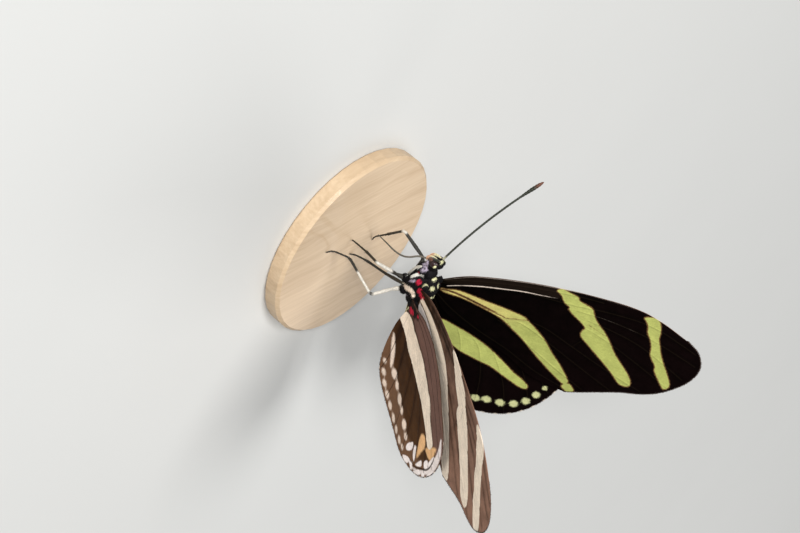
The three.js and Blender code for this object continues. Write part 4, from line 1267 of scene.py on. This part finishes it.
def body_markings(points):
    """Depth of the body's markings at points, alike on both sides but for the left shoulder's spots."""
    mirrored = np.abs(points * [1, 0, 0]) + points * [0, 1, 1]
    depth = {}
    for key in ("pale", "crimson", "cream", "lilac", "white"):
        spots = spot_depth(mirrored, BODY_SPOTS.get(key, []))
        spots = np.maximum(spots, spot_depth(points, LEFT_SPOTS.get(key, [])))
        depth[key] = np.maximum(spots, stroke_depth(mirrored, BODY_LINES.get(key, [])))
    depth["lilac"] = np.minimum(depth["lilac"], -spot_depth(mirrored, BODY_SPOTS["dots"]))
    along_body = (points[:, 1] - ABDOMEN_START[1]) / (ABDOMEN_TIP[1] - ABDOMEN_START[1])
    centre_z = lerp(ABDOMEN_START[2], ABDOMEN_TIP[2], np.clip(along_body, 0, 1))
    angle = np.degrees(np.arctan2(points[:, 2] - centre_z, mirrored[:, 0]))
    phase = (along_body * ABDOMEN_RINGS) % 1
    lines = [half - np.abs(angle - at) * LINE_FADE for at, half in ABDOMEN_LINES]
    rings = RING_HALF - np.abs(phase - RING_AT) * RING_FADE
    rings -= np.clip(np.abs(angle) - RING_SIDE, 0, 90) * RING_SIDE_FADE
    pattern = np.maximum.reduce([depth["pale"], *lines, rings])
    depth["pale"] = np.where(along_body > ABDOMEN_PATTERN_FROM, pattern, depth["pale"])
    return depth


def surface_samples(points, faces, count, rng):
    """Random places on a surface with their outward normals."""
    tris = [f if f.shape[1] == 3 else np.vstack([f[:, [0, 1, 2]], f[:, [0, 2, 3]]]) for f in faces]
    tris = np.vstack(tris)
    a, b, c = points[tris[:, 0]], points[tris[:, 1]], points[tris[:, 2]]
    cross = np.cross(b - a, c - a)
    area = np.linalg.norm(cross, axis=1)
    picked = rng.choice(len(tris), count, p=area / area.sum())
    s, t = rng.random((2, count))
    flip = s + t > 1
    s[flip], t[flip] = 1 - s[flip], 1 - t[flip]
    place = a[picked] + (b - a)[picked] * s[:, None] + (c - a)[picked] * t[:, None]
    return place, unit(cross[picked])


# Each coat of down: how far along the body it reaches, length and width of its tufts, and their lift.
COATS = (
    ("head_down", -np.inf, -4.5, 0.26, 0.05, 0.5),
    ("thorax_down", -4.5, 4.0, 0.46, 0.06, 0.34),
    ("abdomen_down", 4.0, np.inf, 0.3, 0.09, 0.16),
)
DOWN_TUFTS = 34000
DOWN_ROOT = 0.04  # depth of a tuft's root in the skin
DOWN_CURL = 0.3  # how far a tip bends down, as a share of the tuft's length
DOWN_LIES = np.array([0.0, 1.0, -0.25])
MELT_ROUNDS = 4


class LONGWING_OT_skin(bpy.types.Operator):
    """Build the one skin of head, thorax and abdomen, and the down on it"""

    bl_idname = "longwing.skin"
    bl_label = "Skin and Down"

    def execute(self, context):
        grain = sizes().skin_grain * 1
        points, faces = fused(skin_parts(), grain, MELT_ROUNDS)
        attributes = body_markings(points)
        attributes["lay"] = points
        skin = make_object("body_skin", points, faces, [body_material("body skin", 0.6)], attributes)
        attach(skin, "root")
        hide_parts("head", "thorax", "abdomen")
        rng = np.random.default_rng(SEEDS["down"])
        material = body_material("body down", 0.85)
        root, normal = surface_samples(points, faces, DOWN_TUFTS, rng)
        for name, start, end, *shape in COATS:
            kept = (root[:, 1] >= start) & (root[:, 1] < end)
            self.coat(name, root[kept], normal[kept], *shape, material, rng)
        return {"FINISHED"}

    def coat(self, name, root, normal, long, wide, lift, material, rng):
        count = len(root)
        lie = unit(DOWN_LIES - (normal @ DOWN_LIES)[:, None] * normal)
        direction = unit(lie + normal * lift + rng.normal(0, 0.16, (count, 3)))
        length = long * rng.uniform(0.7, 1.25, count)
        width = wide * rng.uniform(0.8, 1.2, count)
        tufts = tuft_mesh(root - normal * DOWN_ROOT, direction, normal, length, width, DOWN_CURL * length)
        marks = body_markings(root)
        marks["lay"] = root
        add_tufts(name, tufts, body_unrolled(root), material, marks)


EYE_CENTRE = (0.57, -5.6, -0.45)
EYE_SIZE = (0.7956, 0.714, 0.918)


class LONGWING_OT_eyes(bpy.types.Operator):
    """Build the two domed eyes with their small facets"""

    bl_idname = "longwing.eyes"
    bl_label = "Eyes"

    def execute(self, context):
        material = self.eye_material()
        for word, side in SIDES.items():
            points, faces, _ = ellipsoid(np.array(EYE_CENTRE) * [side, 1, 1], EYE_SIZE, 64, 48)
            obj = make_object(f"eye_dome_{word}", points, faces, [material], {"lay": points})
            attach(obj, "root")
            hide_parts(f"eye_{word}")
        return {"FINISHED"}

    def eye_material(self):
        material, tree, shader = new_material("eye", 0.3, 0.3, coat=0.15)
        place = carried(tree, "lay", "Vector")
        inputs = {"Vector": place, "Scale": 16.0, "Randomness": 0.05}
        facets = add_node(tree, "ShaderNodeTexVoronoi", inputs).outputs["Distance"]
        mottle = noise(tree, place, 2.2, 3.0).outputs[0]
        red = paints().eye
        set_inputs(tree, shader, {
            "Base Color": blend_colours(tree, mottle, opaque(red, 0.35), opaque(red, 2.0)),
            "Normal": bump(tree, facets, 0.25, 0.02),
        })
        return material


PALP_LINE = [
    (0.4, -5.2, -2.0), (0.44, -5.75, -1.85), (0.44, -6.15, -1.4), (0.43, -6.38, -0.8), (0.42, -6.45, -0.2),
]
PALP_SHARES = [0, 0.15, 0.5, 0.8, 1]
PALP_RADII = [0.18, 0.22, 0.2, 0.15, 0.05]
PALP_ROWS = 40
PALP_SIDES = 20
PALP_HAIRS = 1800
PROBOSCIS_LINE = [
    (0, -5.0, -1.9), (0, -4.7, -2.75), (0, -4.05, -3.9), (0, -2.75, -5.35), (0, -2.0, -6.7), (0, -1.8, -8.3),
    (0, -2.05, -10.1), (0, -2.3, -12.0),
]
PROBOSCIS_ROWS = 260
PROBOSCIS_RINGS = 85


class LONGWING_OT_mouthparts(bpy.types.Operator):
    """Build the two hairy palps and the ringed proboscis"""

    bl_idname = "longwing.mouthparts"
    bl_label = "Palps and Proboscis"

    def execute(self, context):
        p = paints()
        material = limb_material("palp", p.palp, p.palp_light, p.palp_tip, roughness=0.75)
        rng = np.random.default_rng(SEEDS["palps"])
        for word, side in SIDES.items():
            self.palp(word, side, material, rng)
        self.proboscis(limb_material("proboscis", p.proboscis, p.proboscis_light, p.proboscis))
        return {"FINISHED"}

    def palp(self, word, side, material, rng):
        t = np.linspace(0, 1, PALP_ROWS)
        line = along(spline(PALP_LINE), t) * [side, 1, 1]
        points, faces, share = tube(line, np.interp(t, PALP_SHARES, PALP_RADII), PALP_SIDES)
        obj = make_object(f"palp_{word}_core", points, faces, [material], self.palp_marks(points, share))
        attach(obj, "root")
        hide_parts(f"palp_{word}")
        roots = (0, PALP_ROWS * PALP_SIDES, PALP_HAIRS)
        tufts, number = tube_hair(points, line, PALP_SIDES, roots, (1.0, 0.1, 0.18), 0.3, 0.3, rng)
        place = np.column_stack([number % PALP_SIDES / PALP_SIDES, number // PALP_SIDES / PALP_ROWS])
        marks = self.palp_marks(points[number], share[number])
        add_tufts(f"palp_{word}_hair", tufts, place, material, marks)

    def palp_marks(self, points, share):
        pale = 0.6 - np.abs(share - 0.75) * 0.4
        return {"lay": points, "pale": pale, "tip": 0.8 * smooth(share, 0.35, 0.6)}

    def proboscis(self, material):
        t = np.linspace(0, 1, PROBOSCIS_ROWS)
        rings = 1 + 0.05 * np.cos(2 * np.pi * t * PROBOSCIS_RINGS)
        radius = sizes().proboscis * np.interp(t, [0, 0.7, 1], [1, 0.9, 0.5]) * rings
        points, faces, share = tube(along(spline(PROBOSCIS_LINE), t), radius, 16)
        attributes = {
            "lay": points, "pale": np.interp(share, [0, 0.1, 0.5, 1], [0.1, 0.25, 0.0, -0.4]),
            "tip": np.zeros(len(points)),
        }
        obj = make_object("proboscis_tube", points, faces, [material], attributes)
        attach(obj, "root")
        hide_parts("proboscis")


ANTENNA_ROOT = (0.42, -6.4, 0.25)
ANTENNA_WAY = {"left": (0.7, -0.63, 0.33), "right": (-0.75, -0.63, 0.215)}
ANTENNA_LENGTH = 19.5
ANTENNA_SAG = 0.6
ANTENNA_JOINTS = 40
ROWS_PER_JOINT = 6
ANTENNA_CLUB = [0, 0.02, 0.78, 0.9, 0.955, 0.985, 1]  # shares of the length where its outline turns


class LONGWING_OT_antennae(bpy.types.Operator):
    """Build the two jointed feelers with their clubs"""

    bl_idname = "longwing.antennae"
    bl_label = "Antennae"

    def execute(self, context):
        p = paints()
        material = limb_material("antenna", p.antenna, p.antenna_light, p.antenna_tip, roughness=0.4)
        t = np.linspace(0, 1, ANTENNA_JOINTS * ROWS_PER_JOINT + 1)
        joint = (t * ANTENNA_JOINTS) % 1
        knuckle = 1 + 0.1 * np.exp(-((joint - 0.5) / 0.22) ** 2) - 0.1 * np.exp(-((joint - 0.02) / 0.08) ** 2)
        widest = sizes().antenna_club / sizes().antenna
        club = np.interp(t, ANTENNA_CLUB, [1.3, 1.0, 1.0, widest, 1.7, 1.1, 0.25])
        for word, side in SIDES.items():
            root = np.array(ANTENNA_ROOT) * [side, 1, 1]
            line = root + unit(np.array(ANTENNA_WAY[word])) * (t * ANTENNA_LENGTH)[:, None]
            line[:, 2] -= ANTENNA_SAG * 4 * t * (1 - t)
            points, faces, share = tube(line, sizes().antenna * knuckle * club, 16)
            attributes = {
                "lay": points, "pale": np.interp(share, [0, 0.03, 0.05, 1], [0.2, 0.0, -0.4, -0.6]),
                "tip": smooth(share, 0.9, 0.97),
            }
            obj = make_object(f"antenna_{word}_jointed", points, faces, [material], attributes)
            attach(obj, "root")
            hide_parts(f"antenna_{word}")
        return {"FINISHED"}


# Legs: coxa, trochanter, knee, ankle, heel and toe, and the pale stretches as shares of length.
LEGS = {
    "midleg_left": (
        [(1.2, 0.2, -4.3), (2.15, -0.25, -5.05), (5.9, -3.2, -7.0), (3.3, -1.0, -11.0), (1.9, 0.3, -15.0),
         (1.3, 1.0, -15.45)],
        [(0.17, 0.385)],
    ),
    "midleg_right": (
        [(-1.2, 0.2, -4.3), (-3.15, -1.4, -4.6), (-2.2, -4.4, -9.0), (-3.3, -0.5, -12.4), (-3.9, 2.3, -15.0),
         (-4.15, 3.4, -15.45)],
        [(0.405, 0.455)],
    ),
    "hindleg_left": (
        [(1.0, 2.5, -4.2), (1.8, 3.0, -5.2), (6.2, 2.85, -6.2), (5.1, 0.6, -12.6), (6.2, 0.6, -15.2),
         (7.4, 0.5, -15.45)],
        [(0.03, 0.335), (0.37, 0.6)],
    ),
    "hindleg_right": (
        [(-1.0, 2.7, -4.2), (-1.4, 3.95, -5.55), (-3.4, 6.75, -10.65), (-1.6, 5.4, -13.8), (-0.2, 4.6, -15.2),
         (0.9, 4.1, -15.45)],
        [(0.1, 0.13)],
    ),
}
LEG_ROWS, LEG_SIDES, LEG_HAIRS = 150, 14, 900
JOINT_ROUNDING = 0.35
TARSUS_JOINTS = 5
HAIR_LENGTH = 0.16
SPUR_LENGTH, CLAW_LENGTH = 0.55, 0.28
FORELEG_LINE = [(0.95, -3.8, -2.1), (1.12, -3.15, -2.85), (1.22, -2.2, -3.35), (1.2, -1.2, -3.9)]
FORELEG_ROWS, FORELEG_SIDES, FORELEG_HAIRS = 60, 12, 2200
BARE_ROWS = 4  # rows at a leg's root without hair
LOWEST = FLOOR_OF_FEET + 0.01  # feet and their hair stay this high


def spaced(points, count):
    """A line through a leg's joints with rounded corners, and each joint's share of its length."""
    points = np.asarray(points, float)
    turned = [points[0]]
    for before, here, after in zip(points[:-2], points[1:-1], points[2:]):
        turned.append(here + JOINT_ROUNDING * unit(before - here))
        turned.append(here + JOINT_ROUNDING * unit(after - here))
    turned.append(points[-1])
    step = np.linalg.norm(np.diff(points, axis=0), axis=1)
    joints = np.concatenate([[0], np.cumsum(step)]) / step.sum()
    return along(np.array(turned), np.linspace(0, 1, count)), joints


def leg_radius(t, at):
    """Radius of a walking leg at shares of its length, from those of its joints."""
    s = sizes()
    knots = [0, at[1] * 0.9, at[1], at[1] + 0.02, lerp(at[1], at[2], 0.4), at[2] - 0.02, at[2], at[2] + 0.02,
             lerp(at[2], at[3], 0.7), at[3] - 0.01, at[3], at[3] + 0.02, 1.0]
    radii = [0.42, 0.34, 0.26, s.femur * 0.9, s.femur * 1.1, s.femur * 0.85, s.tibia * 1.15, s.tibia * 0.95,
             s.tibia * 0.95, s.tibia * 1.15, s.tarsus * 1.1, s.tarsus, s.tarsus * 0.6]
    tarsus = np.clip((t - at[3]) / (1 - at[3]), 0, 1)
    notch = np.exp(-(((tarsus * TARSUS_JOINTS) % 1 - 0.03) / 0.1) ** 2)
    return np.interp(t, knots, radii) * (1 - 0.22 * (tarsus > 0) * notch)


def spurs_and_claws(line, heel):
    """Two spurs at the end of the tibia and two bent claws at the toe, each a line and its end radii."""
    bend = np.linspace(0, 1, 6)[:, None]
    toe = unit(line[-1] - line[-5])
    across = unit(np.cross(toe, [0, 0, 1]))
    for turn in (-1, 1):
        way = unit(line[heel] - line[heel - 4] + turn * np.array([0.35, 0.2, 0.1]))
        yield line[heel - 1] + way * SPUR_LENGTH * bend, (0.05, 0.012)
    for turn in (-1, 1):
        claw = line[-1] + CLAW_LENGTH * bend * (toe + 0.5 * turn * across) - np.array([0, 0, 0.1]) * bend**2
        yield claw, (0.045, 0.01)


class LONGWING_OT_legs(bpy.types.Operator):
    """Build the four walking legs and the two folded forelegs"""

    bl_idname = "longwing.legs"
    bl_label = "Legs"

    def execute(self, context):
        p = paints()
        material = limb_material("leg", p.leg_dark, p.leg_light, p.leg_dark, roughness=0.55)
        rng = np.random.default_rng(SEEDS["legs"])
        for name, (points, stretches) in LEGS.items():
            self.walking_leg(name, points, stretches, material, rng)
        for word, side in SIDES.items():
            self.foreleg(word, side, material, rng)
        return {"FINISHED"}

    def walking_leg(self, name, joints, stretches, material, rng):
        line, at = spaced(joints, LEG_ROWS)
        points, faces, share = tube(line, leg_radius(np.linspace(0, 1, LEG_ROWS), at), LEG_SIDES)
        light = np.full(len(share), -FAR)
        length = np.linalg.norm(np.diff(line, axis=0), axis=1).sum()
        for low, high in stretches:
            light = np.maximum(light, length * np.minimum(share - low, high - share))
        parts = [(points, faces, light)]
        for spike, (thick, thin) in spurs_and_claws(line, int(LEG_ROWS * at[3])):
            spike_points, spike_faces, _ = tube(spike, np.linspace(thick, thin, len(spike)), 6)
            parts.append((spike_points, spike_faces, np.full(len(spike_points), -1.0)))
        verts, groups, pale = join_parts(parts)
        verts[:, 2] = np.maximum(verts[:, 2], LOWEST)
        attributes = {"lay": verts, "pale": pale, "tip": np.zeros(len(verts))}
        obj = make_object(f"{name}_jointed", verts, groups, [material], attributes)
        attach(obj, "root")
        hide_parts(name)
        tube_parts = (points, line, share, light)
        self.hair(f"{name}_hair", tube_parts, LEG_SIDES, LEG_HAIRS, "body_black", material, rng)

    def foreleg(self, word, side, material, rng):
        t = np.linspace(0, 1, FORELEG_ROWS)
        line = along(spline(FORELEG_LINE), t) * [side, 1, 1]
        points, faces, share = tube(line, np.interp(t, [0, 0.6, 1], [0.17, 0.15, 0.07]), FORELEG_SIDES)
        light = np.interp(share, [0, 0.15, 0.9, 1], [0.4, 0.9, 0.9, 0.3])
        attributes = {"lay": points, "pale": light, "tip": np.zeros(len(points))}
        name = f"foreleg_{word}"
        obj = make_object(f"{name}_folded", points, faces, [material], attributes)
        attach(obj, "root")
        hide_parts(f"foreleg_{word}")
        tube_parts = (points, line, share, light)
        self.hair(f"{name}_hair", tube_parts, FORELEG_SIDES, FORELEG_HAIRS, "cream", material, rng)

    def hair(self, name, tube_parts, sides, count, slot, material, rng):
        points, line, share, light = tube_parts
        roots = (sides * BARE_ROWS, len(line) * sides, count)
        tufts, number = tube_hair(points, line, sides, roots, (HAIR_LENGTH, 0.7, 1.2), 0.35, 0.2, rng)
        tufts[0][:, 2] = np.maximum(tufts[0][:, 2], LOWEST)
        marks = {"lay": points[number], "pale": light[number], "tip": np.zeros(count)}
        place = np.column_stack([number % sides / sides, share[number]])
        add_tufts(name, tufts, place, material, marks)


WOOD_TURN = 0.5  # the grain's direction across the base, in radians
WOOD_WANDER = 0.004
FINE_GRAIN = (90.0, 2600.0, 1400.0)
BROAD_GRAIN = (25.0, 520.0, 300.0)


class LONGWING_OT_base(bpy.types.Operator):
    """Give the round base its pale wood"""

    bl_idname = "longwing.base"
    bl_label = "Base"

    def execute(self, context):
        p = paints()
        material, tree, shader = new_material("pale wood", 0.5, 0.35, coat=0.08)
        place = add_node(tree, "ShaderNodeTexCoord").outputs["Object"]
        wander = noise(tree, place, 55.0, 2.0).outputs["Color"]
        bent = self.vectors(tree, "MULTIPLY", wander, (WOOD_WANDER, WOOD_WANDER, WOOD_WANDER))
        shifted = self.vectors(tree, "ADD", place, bent)
        fine = self.grain(tree, shifted, FINE_GRAIN, 5.0, 0.5)
        broad = self.grain(tree, shifted, BROAD_GRAIN, 4.0, 0.6)
        broad_share = math_node(tree, "MULTIPLY", broad, 0.6)
        mix = math_node(tree, "ADD", broad_share, math_node(tree, "MULTIPLY", fine, 0.4))
        share = scaled(tree, mix, 0.0, 1.0, 0.35, 0.7)
        set_inputs(tree, shader, {
            "Base Color": blend_colours(tree, share, opaque(p.wood), opaque(p.wood_grain)),
            "Normal": bump(tree, fine, 0.3, 0.03),
        })
        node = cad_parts["stand_base"]
        node.data.materials.clear()
        node.data.materials.append(material)
        return {"FINISHED"}

    def vectors(self, tree, operation, a, b):
        return add_node(tree, "ShaderNodeVectorMath", {0: a, 1: b}, operation=operation).outputs[0]

    def grain(self, tree, place, scale, detail, roughness):
        inputs = {"Vector": place, "Rotation": (0.0, 0.0, WOOD_TURN), "Scale": scale}
        stretched = add_node(tree, "ShaderNodeMapping", inputs).outputs[0]
        return noise(tree, stretched, 1.0, detail, roughness).outputs[0]


# The camera, fitted to the picture: its place in millimetres from the hinge point and its axes.
CAMERA_PLACE = (199.2, -195.7, 114.1)
CAMERA_RIGHT = (-0.6608, -0.233, 0.7135)
CAMERA_UP = (-0.367, -0.729, -0.5779)
CAMERA_LENS = 87.5
SENSOR_WIDTH = 36.0
CLOSEST_SEEN = 0.01

# Lights, in metres from the butterfly's middle: place, size and power.
LIGHTS = {
    "key light": ((0.1, -0.5, 0.65), 0.35, 4.7),
    "fill light": ((0.56, -0.6, 0.33), 0.12, 6.0),
    "back light": ((-0.35, 0.5, 0.5), 0.5, 2.2),
}
LIT_MIDDLE = (0, 0.004, 0.01)
ROOM_LIGHT, ROOM_STRENGTH = (0.95, 0.97, 1.0, 1.0), 0.19
FLOOR_REACH = 4.0


class LONGWING_OT_stage(bpy.types.Operator):
    """Set up the pale floor, the soft lights and the camera"""

    bl_idname = "longwing.stage"
    bl_label = "Stage"

    def execute(self, context):
        self.floor()
        self.camera()
        self.lights()
        return {"FINISHED"}

    def floor(self):
        material, tree, shader = new_material("pale floor", 0.75, 0.2)
        place = add_node(tree, "ShaderNodeTexCoord").outputs["Object"]
        cloud = noise(tree, place, 30.0, 4.0).outputs[0]
        colour = shaded(tree, opaque(paints().floor), cloud, 0.985, 1.015)
        set_inputs(tree, shader, {"Base Color": colour})
        mesh = bpy.data.meshes.new("floor")
        corners = [(x * FLOOR_REACH, y * FLOOR_REACH, 0) for x, y in ((-1, -1), (1, -1), (1, 1), (-1, 1))]
        mesh.from_pydata(corners, [], [(0, 1, 2, 3)])
        mesh.materials.append(material)
        floor = bpy.data.objects.new("floor", mesh)
        bpy.context.scene.collection.objects.link(floor)

    def camera(self):
        data = bpy.data.cameras.new("camera")
        data.lens = CAMERA_LENS
        data.sensor_width = SENSOR_WIDTH
        data.clip_start = CLOSEST_SEEN
        right, up = Vector(CAMERA_RIGHT).normalized(), Vector(CAMERA_UP).normalized()
        back = right.cross(up).normalized()
        up = back.cross(right)
        turn = Matrix((right, up, back)).transposed().to_4x4()
        camera = bpy.data.objects.new("camera", data)
        camera.matrix_world = Matrix.Translation(HINGE + Vector(CAMERA_PLACE) * MM) @ turn
        bpy.context.scene.collection.objects.link(camera)
        bpy.context.scene.camera = camera

    def lights(self):
        for name, (place, size, power) in LIGHTS.items():
            data = bpy.data.lights.new(name, "AREA")
            data.shape = "DISK"
            data.size = size
            data.energy = power
            light = bpy.data.objects.new(name, data)
            light.location = HINGE + Vector(LIT_MIDDLE) + Vector(place)
            light.rotation_euler = Vector(place).to_track_quat("Z", "Y").to_euler()
            bpy.context.scene.collection.objects.link(light)
        world = bpy.data.worlds.new("soft room")
        world.use_nodes = True
        sky = next(n for n in world.node_tree.nodes if n.type == "BACKGROUND")
        set_inputs(world.node_tree, sky, {"Color": ROOM_LIGHT, "Strength": ROOM_STRENGTH})
        bpy.context.scene.world = world
        bpy.context.scene.view_settings.view_transform = "Standard"


OPERATORS = (
    LONGWING_OT_wings, LONGWING_OT_fringe, LONGWING_OT_skin, LONGWING_OT_eyes, LONGWING_OT_mouthparts,
    LONGWING_OT_antennae, LONGWING_OT_legs, LONGWING_OT_base, LONGWING_OT_stage,
)


class LONGWING_PT_panel(bpy.types.Panel):
    """Lists the pieces and their sizes and colours"""

    bl_label = "Longwing"
    bl_space_type = "VIEW_3D"
    bl_region_type = "UI"
    bl_category = "Longwing"

    def draw(self, context):
        for operator in OPERATORS:
            self.layout.operator(operator.bl_idname)
        for group in (context.scene.longwing_sizes, context.scene.longwing_paints):
            for key in group.__annotations__:
                self.layout.prop(group, key)


CLASSES = (LongwingPaints, LongwingSizes, *OPERATORS, LONGWING_PT_panel)


def register():
    for cls in CLASSES:
        bpy.utils.register_class(cls)
    bpy.types.Scene.longwing_paints = PointerProperty(type=LongwingPaints)
    bpy.types.Scene.longwing_sizes = PointerProperty(type=LongwingSizes)


def unregister():
    del bpy.types.Scene.longwing_paints
    del bpy.types.Scene.longwing_sizes
    for cls in reversed(CLASSES):
        bpy.utils.unregister_class(cls)


def main():
    """Builds the pieces in order."""
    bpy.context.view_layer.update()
    register()
    bpy.ops.longwing.stage()
    bpy.ops.longwing.wings()
    bpy.ops.longwing.fringe()
    bpy.ops.longwing.skin()
    bpy.ops.longwing.eyes()
    bpy.ops.longwing.mouthparts()
    bpy.ops.longwing.antennae()
    bpy.ops.longwing.legs()
    bpy.ops.longwing.base()


if __name__ == "__main__":
    main()
